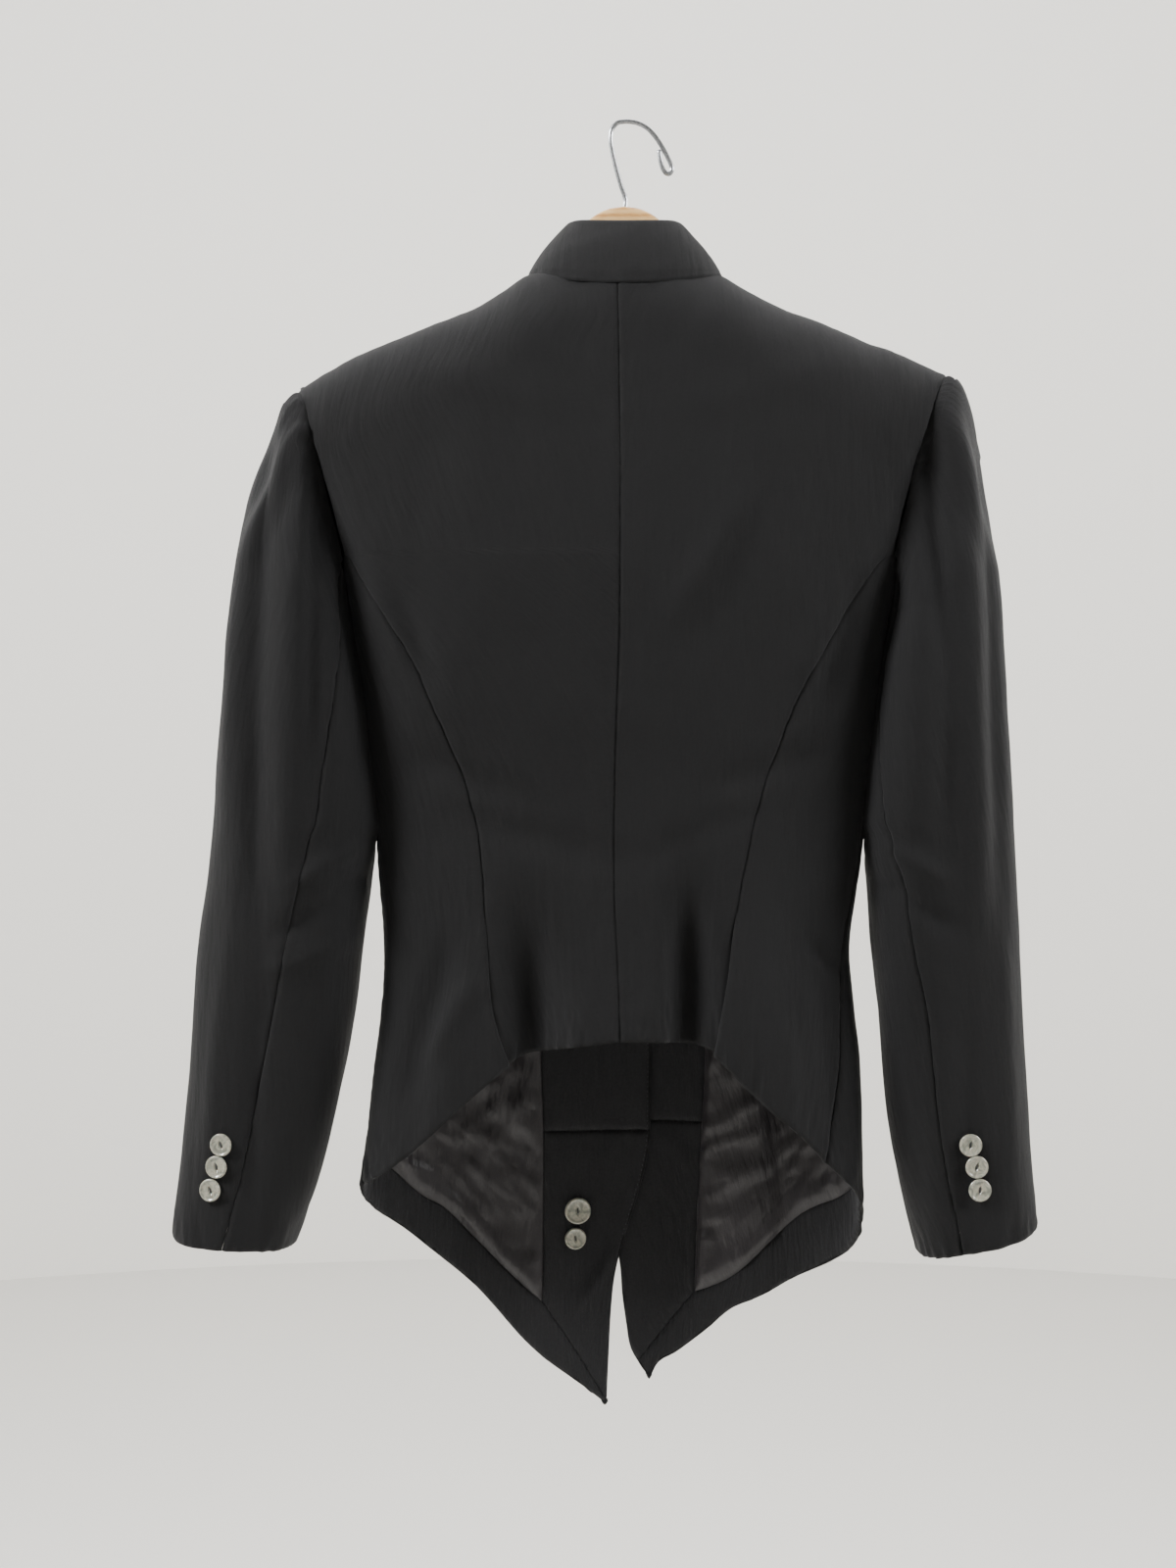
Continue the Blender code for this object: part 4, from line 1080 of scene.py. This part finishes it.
def sleeve_point(side, around, along):
    """From the armhole, where along is 0, over the head, where it is 1, to the cuff, where it is 2."""
    if along >= 1:
        return tube_point(side, around, mix(SLEEVE_START, SLEEVE_END, along - 1))
    around %= 360
    out, to_back = math.cos(math.radians(around)), math.sin(math.radians(around))
    start, end = armhole_point(side, around), tube_point(side, around, SLEEVE_START)
    # the sleeve's edge goes a little over the shoulder's, and a little under the front's
    start += Vector((-side * 1.6, 0, 1.4)) * max(out, 0)
    start += Vector((-side * 3.0, -2.4, 0)) * max(-to_back, 0) ** 0.5 * (1 - max(out, 0))
    reach = mix(UNDERARM_REACH, HEAD_REACH, (1 + out) / 2)
    sideways = mix(-0.3, 1, ((1 + out) / 2) ** 0.5)
    leave = Vector((side * sideways, -0.35 * to_back, 0.2 - 0.8 * (1 - out))) * reach
    arrive = Vector((side * 0.1 * out, 0, -1)) * (end - start).length * 1.1
    swell = math.sin(math.pi * along)
    gather = GATHER_HEIGHT * math.cos(math.radians(9 * around)) * swell * max(out, 0) ** 0.5
    push = UNDERARM_PUSH * max(-out, 0) * max(-to_back, 0) ** 0.5 * swell
    return (cubic(start, leave, end, arrive, along)
            + Vector((side * 0.6, -to_back, 0.5 * out)) * gather - Vector((side * push, 0, 0)))


print("the left cuff is", round((sleeve_point(LEFT, 0, 2) - sleeve_point(LEFT, 180, 2)).length), "mm wide")

# %% Sleeves
SLEEVE_DRAGS = (
    # side, face, from x, from drop, to x, to drop, half width, height
    (LEFT, BACK, -214, 232, -222, 512, 9, 3),
    (LEFT, BACK, -239, 215, -243, 480, 8, -3.2),
    (LEFT, BACK, -252, 226, -262, 420, 7, 1.8),
    (LEFT, BACK, -206, 250, -203, 420, 6, -2),
    (LEFT, BACK, -176, 486, -214, 508, 6, 2),
    (LEFT, BACK, -178, 510, -222, 540, 6, -1.8),
    (LEFT, BACK, -184, 548, -228, 566, 7, 1.4),
    (LEFT, BACK, -262, 560, -276, 690, 8, 1.6),
    (LEFT, BACK, -240, 590, -246, 720, 7, -1.6),
    (RIGHT, BACK, 222, 224, 231, 500, 9, 3),
    (RIGHT, BACK, 202, 214, 205, 330, 7, -3.2),
    (RIGHT, BACK, 239, 232, 246, 470, 6, -2.2),
    (RIGHT, BACK, 211, 330, 212, 470, 8, -1.8),
    (RIGHT, BACK, 170, 486, 206, 506, 6, 2),
    (RIGHT, BACK, 172, 512, 212, 538, 6, -1.8),
    (RIGHT, BACK, 250, 560, 256, 690, 8, 1.6),
    (RIGHT, BACK, 222, 600, 226, 720, 7, -1.6),
    (LEFT, FRONT, -222, 240, -228, 460, 10, 2.4),
    (LEFT, FRONT, -180, 490, -226, 520, 8, -2.4),
    (RIGHT, FRONT, 216, 240, 222, 460, 10, 2.4),
    (RIGHT, FRONT, 172, 490, 216, 520, 8, -2.4),
)


def make_sleeve(side):
    name = SIDE_NAMES[side]
    head = SLEEVE_HEAD_SHARE

    def outside(point):
        outer, inner = smooth_at(SLEEVE[side], -point.z)[:2]
        return Vector((point.x - side * (outer + inner) / 2, point.y, 0))

    @lru_cache(maxsize=None)
    def row_place(v):
        """How far along the sleeve a row is, and its seams there."""
        along = v / head if v < head else 1 + (v - head) / (1 - head)
        drop = mix(250, SLEEVE_START, along) if along < 1 else mix(SLEEVE_START, SLEEVE_END, along - 1)
        return along, smooth_at(BACK_SLEEVE_SEAM[side], drop), smooth_at(FRONT_SLEEVE_SEAM, drop)

    def upper(u, v):
        along, back_seam, front_seam = row_place(v)
        return sleeve_point(side, mix(front_seam - 360, back_seam, u), along)

    def under(u, v):
        along, back_seam, front_seam = row_place(v)
        return sleeve_point(side, mix(back_seam, front_seam, u), along)

    def relief(place):
        face = BACK if place.point.y < 0 else FRONT
        total = 2.2 * noise.noise(Vector((place.x / 24, place.drop / 120, side * 11.0 + face)))
        total += 0.4 * noise.noise(Vector((place.x / 9, place.drop / 28, side * 13.0 + face)))
        for drag_side, drag_face, *drag in SLEEVE_DRAGS:
            if drag_side == side and drag_face == face:
                total += drag_height(place.x, place.drop, *drag)
        gathers = noise.noise(Vector((place.near / 7.5, side * 5.0, 0.0))) * math.exp(-place.top / 26)
        total += 3.0 * gathers * ease(place.top / 3)
        total += crinkles(place.near, place.drop, 1 - place.hem / 36)
        total += rolled_edges(place, top=False)
        return total + rolled(place.top, 0.5) + puckers(place.near, place.top)

    lay_cloth(f"sleeve_upper_{name}", upper, outside, 190, 580, relief, "wool", f"sleeve_upper_{name}")
    lay_cloth(f"sleeve_under_{name}", under, outside, 100, 500, relief, "wool", f"sleeve_under_{name}")


for side in (LEFT, RIGHT):
    make_sleeve(side)

# %% [markdown]
# ## Stand collar
#
# The collar is one band that goes round the neck from front edge to front edge. It narrows
# upwards, since a neck does. Its lower edge lies just over the neck seam, so nothing shows
# between the two.

# %% Collar
COLLAR_TOP = {"half_width": 37.5, "back": 30.0, "front": 27.0, "back_drop": 71.5, "side_drop": 67.0,
              "front_drop": 77.0}
COLLAR_BULGE = 2.4
COLLAR_HALF_TURN = 179.2
COLLAR_LAP = 3.0       # how far it comes down over the neck seam


def make_collar():
    def surface(u, v):
        around = mix(-COLLAR_HALF_TURN, COLLAR_HALF_TURN, u)
        side_share, back_share = math.sin(math.radians(around)), math.cos(math.radians(around))
        side = LEFT if side_share < 0 else RIGHT
        x = NECK_X * side_share
        at_back = back_share > 0
        drop = neck_edge(side, BACK_NECK_DROP if at_back else FRONT_NECK_DROP)(abs(x))
        base = body_point(side * (back_turn if at_back else front_turn)(side, x, drop), drop + 0.003)
        depth = COLLAR_TOP["back"] if at_back else COLLAR_TOP["front"]
        end_drop = COLLAR_TOP["back_drop" if at_back else "front_drop"]
        top_drop = mix(COLLAR_TOP["side_drop"], end_drop, back_share ** 2)
        top = Vector((COLLAR_TOP["half_width"] * side_share, -depth * back_share, -top_drop))
        rise = (top - base).normalized()
        low = base - rise * COLLAR_LAP + Vector((side_share * 0.6, -back_share, 0)) * 1.9
        return low + (top - low) * v + Vector((side_share, -back_share, 0)) * COLLAR_BULGE * 4 * v * (1 - v)

    def outside(point):
        return Vector((point.x, point.y, 10))

    def relief(place):
        wave = 0.7 * noise.noise(Vector((place.near / 30, place.drop / 20, 21.0)))
        stitched = -0.45 * math.exp(-((place.top - 3.2) / 0.9) ** 2)
        edges = rolled(place.top, 0.9) + rolled(place.hem, 0.9) + puckers(place.near, place.top)
        return wave + edges + stitched

    lay_cloth("collar", surface, outside, 330, 56, relief, "wool", "collar")


make_collar()

# %% [markdown]
# ## Shell buttons
#
# Three buttons close each cuff, two spares are sewn inside the left front, and five close the
# front. Each is turned from shell: a thin disc with a rounded rim, a shallow dish, and an
# eye-shaped slot that keeps the thread below the face. A spun profile gives the disc, and the
# slot is pressed into its dense middle, so no boolean is needed.

# %% Button helpers
CUFF_BUTTON_RADIUS, LARGE_BUTTON_RADIUS = 7.5, 9.2
BUTTON_THICKNESS = 2.4
BUTTON_STEPS = 72
SLOT_LENGTH, SLOT_WIDTH, SLOT_DEPTH = 3.1, 1.25, 1.0
# share of the radius, height as a share of half the thickness
BUTTON_PROFILE = ((0, -1), (0.7, -1), (0.92, -0.75), (1, -0.1), (0.995, 0.35), (0.96, 0.8), (0.9, 1),
                  (0.84, 0.95), (0.79, 0.62), (0.72, 0.42), (0.6, 0.36), (0.5, 0.34), (0.42, 0.33),
                  *((share, 0.32) for share in (0.35, 0.28, 0.22, 0.16, 0.1, 0.05, 0)))


def stand_on(mesh, centre, normal, spin):
    """Turn a bmesh made round +Z to face a normal, and move it to its centre."""
    bmesh.ops.rotate(mesh, verts=mesh.verts, matrix=Matrix.Rotation(math.radians(spin), 3, "Z"))
    bmesh.ops.rotate(mesh, verts=mesh.verts, matrix=normal.to_track_quat("Z", "Y").to_matrix())
    bmesh.ops.translate(mesh, verts=mesh.verts, vec=centre)


def make_button(name, radius, centre, normal, spin):
    mesh = bmesh.new()
    profile = [mesh.verts.new((radius * share, 0, height * BUTTON_THICKNESS / 2))
               for share, height in BUTTON_PROFILE]
    lines = [mesh.edges.new(pair) for pair in zip(profile, profile[1:])]
    bmesh.ops.spin(mesh, geom=profile + lines, cent=(0, 0, 0), axis=(0, 0, 1), angle=2 * math.pi,
                   steps=BUTTON_STEPS, use_merge=True)
    bmesh.ops.remove_doubles(mesh, verts=mesh.verts, dist=0.001)
    bmesh.ops.recalc_face_normals(mesh, faces=mesh.faces)
    for vertex in mesh.verts:
        if vertex.co.z > 0:
            x, y = vertex.co.xy * CUFF_BUTTON_RADIUS / radius
            eye = (y / SLOT_LENGTH) ** 2 + abs(x) / SLOT_WIDTH
            vertex.co.z -= SLOT_DEPTH * ease((1.25 - eye) / 0.7)
            vertex.co.z += 0.06 * noise.noise(Vector((x / 3, y / 3, radius)))
    stand_on(mesh, centre, normal, spin)
    add_mesh_piece(f"{name}_shell", mesh, "shell", name)


def make_stitches(name, centre, normal, spin):
    """Four threads along the slot, and the shank below the button."""
    mesh = bmesh.new()
    for x in (-0.45, -0.15, 0.15, 0.45):
        thread = bmesh.ops.create_cone(mesh, cap_ends=True, segments=8, radius1=0.2, radius2=0.2,
                                       depth=3.4)["verts"]
        bmesh.ops.rotate(mesh, verts=thread, matrix=Matrix.Rotation(math.radians(90), 3, "X"))
        for vertex in thread:
            vertex.co.x += x * (1 - (vertex.co.y / 3) ** 2)
            vertex.co.z += 0.1 - 0.12 * abs(vertex.co.y)
    shank = bmesh.ops.create_cone(mesh, cap_ends=True, segments=12, radius1=1.3, radius2=1.0,
                                  depth=1.6)["verts"]
    bmesh.ops.translate(mesh, verts=shank, vec=(0, 0, -BUTTON_THICKNESS / 2 - 0.5))
    stand_on(mesh, centre, normal, spin)
    add_mesh_piece(f"{name}_thread", mesh, "thread")


def sew_button(name, radius, point, normal, wall, spin):
    """A button that lies on a wall of cloth, with its thread."""
    centre = point + normal * (wall + SEAM_GAP + BUTTON_THICKNESS / 2)
    make_button(name, radius, centre, normal, spin)
    make_stitches(name, centre, normal, spin)


print("a large button has", BUTTON_STEPS * len(BUTTON_PROFILE), "points before merging")

# %% Buttons
# drop, distance from the middle, turn of the slot
CUFF_BUTTONS = {
    LEFT: ((681.8, -264.7, 18), (696.7, -267.8, 12), (712.4, -271.9, 20)),
    RIGHT: ((681.3, 226.2, -14), (695.9, 230.3, -20), (711.2, 232.4, -10)),
}
SPARE_BUTTONS = {
    # drop, distance past the middle, radius, turn of the slot
    "spare_button_large": (739.9, -32.5, LARGE_BUTTON_RADIUS, 4),
    "spare_button_small": (758.9, -34.2, CUFF_BUTTON_RADIUS, 8),
}
FRONT_BUTTON_DROPS = (165.0, 255.0, 345.0, 435.0, 525.0)

for side in (LEFT, RIGHT):
    for number, (drop, x, spin) in enumerate(CUFF_BUTTONS[side], start=1):
        outer, inner = smooth_at(SLEEVE[side], drop)[:2]
        share = (abs(x) - (outer + inner) / 2) / ((outer - inner) / 2)
        around = math.degrees(math.acos(signed_power(share, SLEEVE_SQUARENESS / 2)))
        here = tube_point(side, around, drop)
        across, down = tube_point(side, around + 1, drop) - here, tube_point(side, around, drop + 1) - here
        normal = across.cross(down).normalized()
        if normal.y > 0:
            normal.negate()
        sew_button(f"cuff_button_{SIDE_NAMES[side]}_{number}", CUFF_BUTTON_RADIUS, here, normal, 0.6, spin)

for name, (drop, x, radius, spin) in SPARE_BUTTONS.items():
    turn = LEFT * front_turn(LEFT, x, drop)
    across = body_point(turn + 2, drop) - body_point(turn - 2, drop)
    normal = across.cross(Vector((0, 0, 1))).normalized()
    if normal.y > 0:
        normal.negate()
    sew_button(name, radius, body_point(turn, drop), normal, WALL + LINING_GAP + LINING_WALL + 0.8, spin)

for number, drop in enumerate(FRONT_BUTTON_DROPS, start=1):
    here = body_point(front_turn(RIGHT, 0.0, drop), drop)
    here.y += OVERLAP_STEP + 0.6
    sew_button(f"front_button_{number}", LARGE_BUTTON_RADIUS, here, Vector((0, 1, 0)), 0, 0)
print(len([name for name in pieces if name.endswith("_shell")]), "buttons sewn on")

# %% [markdown]
# ## Hanger and hook
#
# The hanger is a flat bar of beech with a round hump at the neck. It follows the shoulders just
# below the cloth. The hook is one length of wire, bent into a question mark with its end turned
# back, and it runs down into the wood. Both are grids wrapped round their length, whose long
# edges are then joined and whose ends are closed, so both stay smooth close up.

# %% Hanger
HANGER_DEPTH = 12.0
HANGER_TIP_X = 200.0
HANGER_CLEARANCE = WALL + 1.7
HANGER_TIP_HEIGHT = 14.0
# x, drop of the top edge, height
HANGER = ((0, 56, 44), (11, 57.8, 43), (21, 63, 39), (29, 71, 34), (36, 82, 28), (44, 92, 24),
          (54, 102, 22), (64, 107.8, 21))
BAR_COLUMNS, BAR_ROUND = 160, 24



def add_wrapped(name, mesh, material, node):
    """Join the long edges of a wrapped grid, close its ends and add it."""
    bmesh.ops.remove_doubles(mesh, verts=mesh.verts, dist=0.001)
    bmesh.ops.holes_fill(mesh, edges=[edge for edge in mesh.edges if edge.is_boundary])
    bmesh.ops.recalc_face_normals(mesh, faces=mesh.faces)
    print(f"{name} has {len(mesh.faces)} faces")
    add_mesh_piece(name, mesh, material, node)


bar = bmesh.new()
bmesh.ops.create_grid(bar, x_segments=BAR_COLUMNS, y_segments=BAR_ROUND, size=0.5)
for vertex in bar.verts:
    share, round_share = vertex.co.x * 2, vertex.co.y + 0.5
    x = HANGER_TIP_X * signed_power(share, 1.25)
    if abs(x) < NECK_X:
        top, height = smooth_at(HANGER, abs(x))
    else:
        top = shoulder_drop(x) + HANGER_CLEARANCE
        height = mix(HANGER[-1][2], HANGER_TIP_HEIGHT, (abs(x) - NECK_X) / (HANGER_TIP_X - NECK_X))
    angle = 2 * math.pi * round_share
    reach = ease((1 - abs(share)) / 0.03) ** 0.5 * 0.45 + 0.55
    y = HANGER_DEPTH / 2 * signed_power(math.sin(angle), 0.45) * reach
    z = height / 2 * signed_power(math.cos(angle), 0.55) * reach
    vertex.co = Vector((x, y, -(top + height / 2) + z))
add_wrapped("hanger_bar", bar, "beech", "hanger_wood")

# %% Hook
WIRE_RADIUS = 1.6
# x, drop of the wire's middle, from inside the wood to its free end
HOOK = ((0.7, 62), (0.7, 55.6), (0.7, 50), (-2, 42), (-5.3, 30.3), (-7.9, 19), (-9.2, 11),
        (-8.4, 4), (-4.8, -0.6), (0, -1.6), (5.3, -1.4), (10, -0.2), (15.2, 2.6), (20.5, 8),
        (25.8, 16), (30.2, 24.4), (32.2, 30), (30.6, 33.4), (27.4, 32.4), (24.8, 26.4), (23.4, 17.5))
WIRE_STEPS, WIRE_SIDES = 8, 16

route = tuple((i, x, drop) for i, (x, drop) in enumerate(HOOK))
last = (len(HOOK) - 1) * WIRE_STEPS
centres = [Vector((x, 0, -drop)) for x, drop in
           (smooth_at(route, i / WIRE_STEPS) for i in range(last + 1))]
wire = bmesh.new()
bmesh.ops.create_grid(wire, x_segments=last, y_segments=WIRE_SIDES, size=0.5)
for vertex in wire.verts:
    i, angle = round((vertex.co.x + 0.5) * last), 2 * math.pi * (vertex.co.y + 0.5)
    ahead = (centres[min(i + 1, last)] - centres[max(i - 1, 0)]).normalized()
    aside = ahead.cross(Vector((0, 1, 0)))
    radius = WIRE_RADIUS * (0.75 if i == last else 1)
    vertex.co = centres[i] + radius * (aside * math.cos(angle) + Vector((0, math.sin(angle), 0)))
add_wrapped("hook_wire", wire, "wire", "hanger_hook")

# %% [markdown]
# ## Stage, light and camera
#
# Black cloth is lit by its highlights, so the light has to come from the side: a large soft key
# from the upper left, a weaker fill from the right, and a rim from behind each shoulder. A wide
# light from above washes the backdrop, which is round and far off, so that the camera can go
# anywhere. Its half behind the camera is greyer, so that it doesn't wash out the folds. The
# camera stands square to the back, at the height of the lower back, as the photo's did.

# %% Stage
FLOOR_Z, ROOM_RADIUS, ROOM_HEIGHT = -1.7, 4.4, 7.0


def stage_piece(name, mesh, tint, *more_tints):
    data = bpy.data.meshes.new(name)
    mesh.to_mesh(data)
    mesh.free()
    for each_tint in (tint, *more_tints):
        material = bpy.data.materials.new(name)
        material.use_nodes = True
        shader = material.node_tree.nodes["Principled BSDF"]
        shader.inputs["Base Color"].default_value = colour(each_tint)
        shader.inputs["Roughness"].default_value = 0.95
        data.materials.append(material)
    item = bpy.data.objects.new(name, data)
    bpy.context.scene.collection.objects.link(item)


floor = bmesh.new()
bmesh.ops.create_circle(floor, cap_ends=True, segments=96, radius=ROOM_RADIUS)
bmesh.ops.translate(floor, verts=floor.verts, vec=(0, 0, FLOOR_Z))
stage_piece("floor", floor, "d9d7d2")

room = bmesh.new()
bmesh.ops.create_circle(room, cap_ends=False, segments=96, radius=ROOM_RADIUS)
bmesh.ops.translate(room, verts=room.verts, vec=(0, 0, FLOOR_Z))
raised = bmesh.ops.extrude_edge_only(room, edges=room.edges[:])["geom"]
top = [item for item in raised if isinstance(item, bmesh.types.BMVert)]
bmesh.ops.translate(room, verts=top, vec=(0, 0, ROOM_HEIGHT))
for face in room.faces:
    face.material_index = 0 if face.calc_center_median().y > 0 else 1
stage_piece("backdrop", room, "e9e7e2", "a9a8a5")
print("the round backdrop stands", ROOM_RADIUS, "m away on every side")

# %% Light
LIGHTS = (
    # name, place, size, watts
    ("key", (-2.2, -1.0, 1.2), 0.9, 170.0),
    ("fill", (2.3, -0.8, 0.6), 1.1, 95.0),
    ("rim_left", (-1.6, 1.4, 0.7), 1.0, 26.0),
    ("rim_right", (1.7, 1.3, 0.5), 1.0, 24.0),
    ("wall_wash", (0.0, 1.2, 2.4), 3.0, 190.0),
)
JACKET_MIDDLE, WALL_MIDDLE = Vector((0, 0, -0.42)), Vector((0, ROOM_RADIUS, -0.4))

for name, place, size, watts in LIGHTS:
    lamp = bpy.data.lights.new(name, "AREA")
    lamp.shape, lamp.size, lamp.energy = "DISK", size, watts
    item = bpy.data.objects.new(name, lamp)
    item.location = place
    target = WALL_MIDDLE if name == "wall_wash" else JACKET_MIDDLE
    item.rotation_euler = (target - item.location).to_track_quat("-Z", "Y").to_euler()
    bpy.context.scene.collection.objects.link(item)

world = bpy.data.worlds.new("studio")
world.use_nodes = True
sky = world.node_tree.nodes["Background"].inputs
sky["Color"].default_value, sky["Strength"].default_value = colour("e6e9f0"), 0.25
bpy.context.scene.world = world
print("lights:", ", ".join(name for name, *_ in LIGHTS))

# %% Camera
LENS, SENSOR_WIDTH = 51.1, 36.0          # millimetres
CAMERA_PLACE = (-0.0244, -1.5, -0.4448)  # metres

camera_data = bpy.data.cameras.new("photo_camera")
camera_data.lens, camera_data.sensor_width = LENS, SENSOR_WIDTH
camera = bpy.data.objects.new("photo_camera", camera_data)
camera.location = CAMERA_PLACE
camera.rotation_euler = (math.radians(90), 0, 0)
bpy.context.scene.collection.objects.link(camera)
bpy.context.scene.camera = camera
print("camera", tuple(round(part, 3) for part in camera.location))
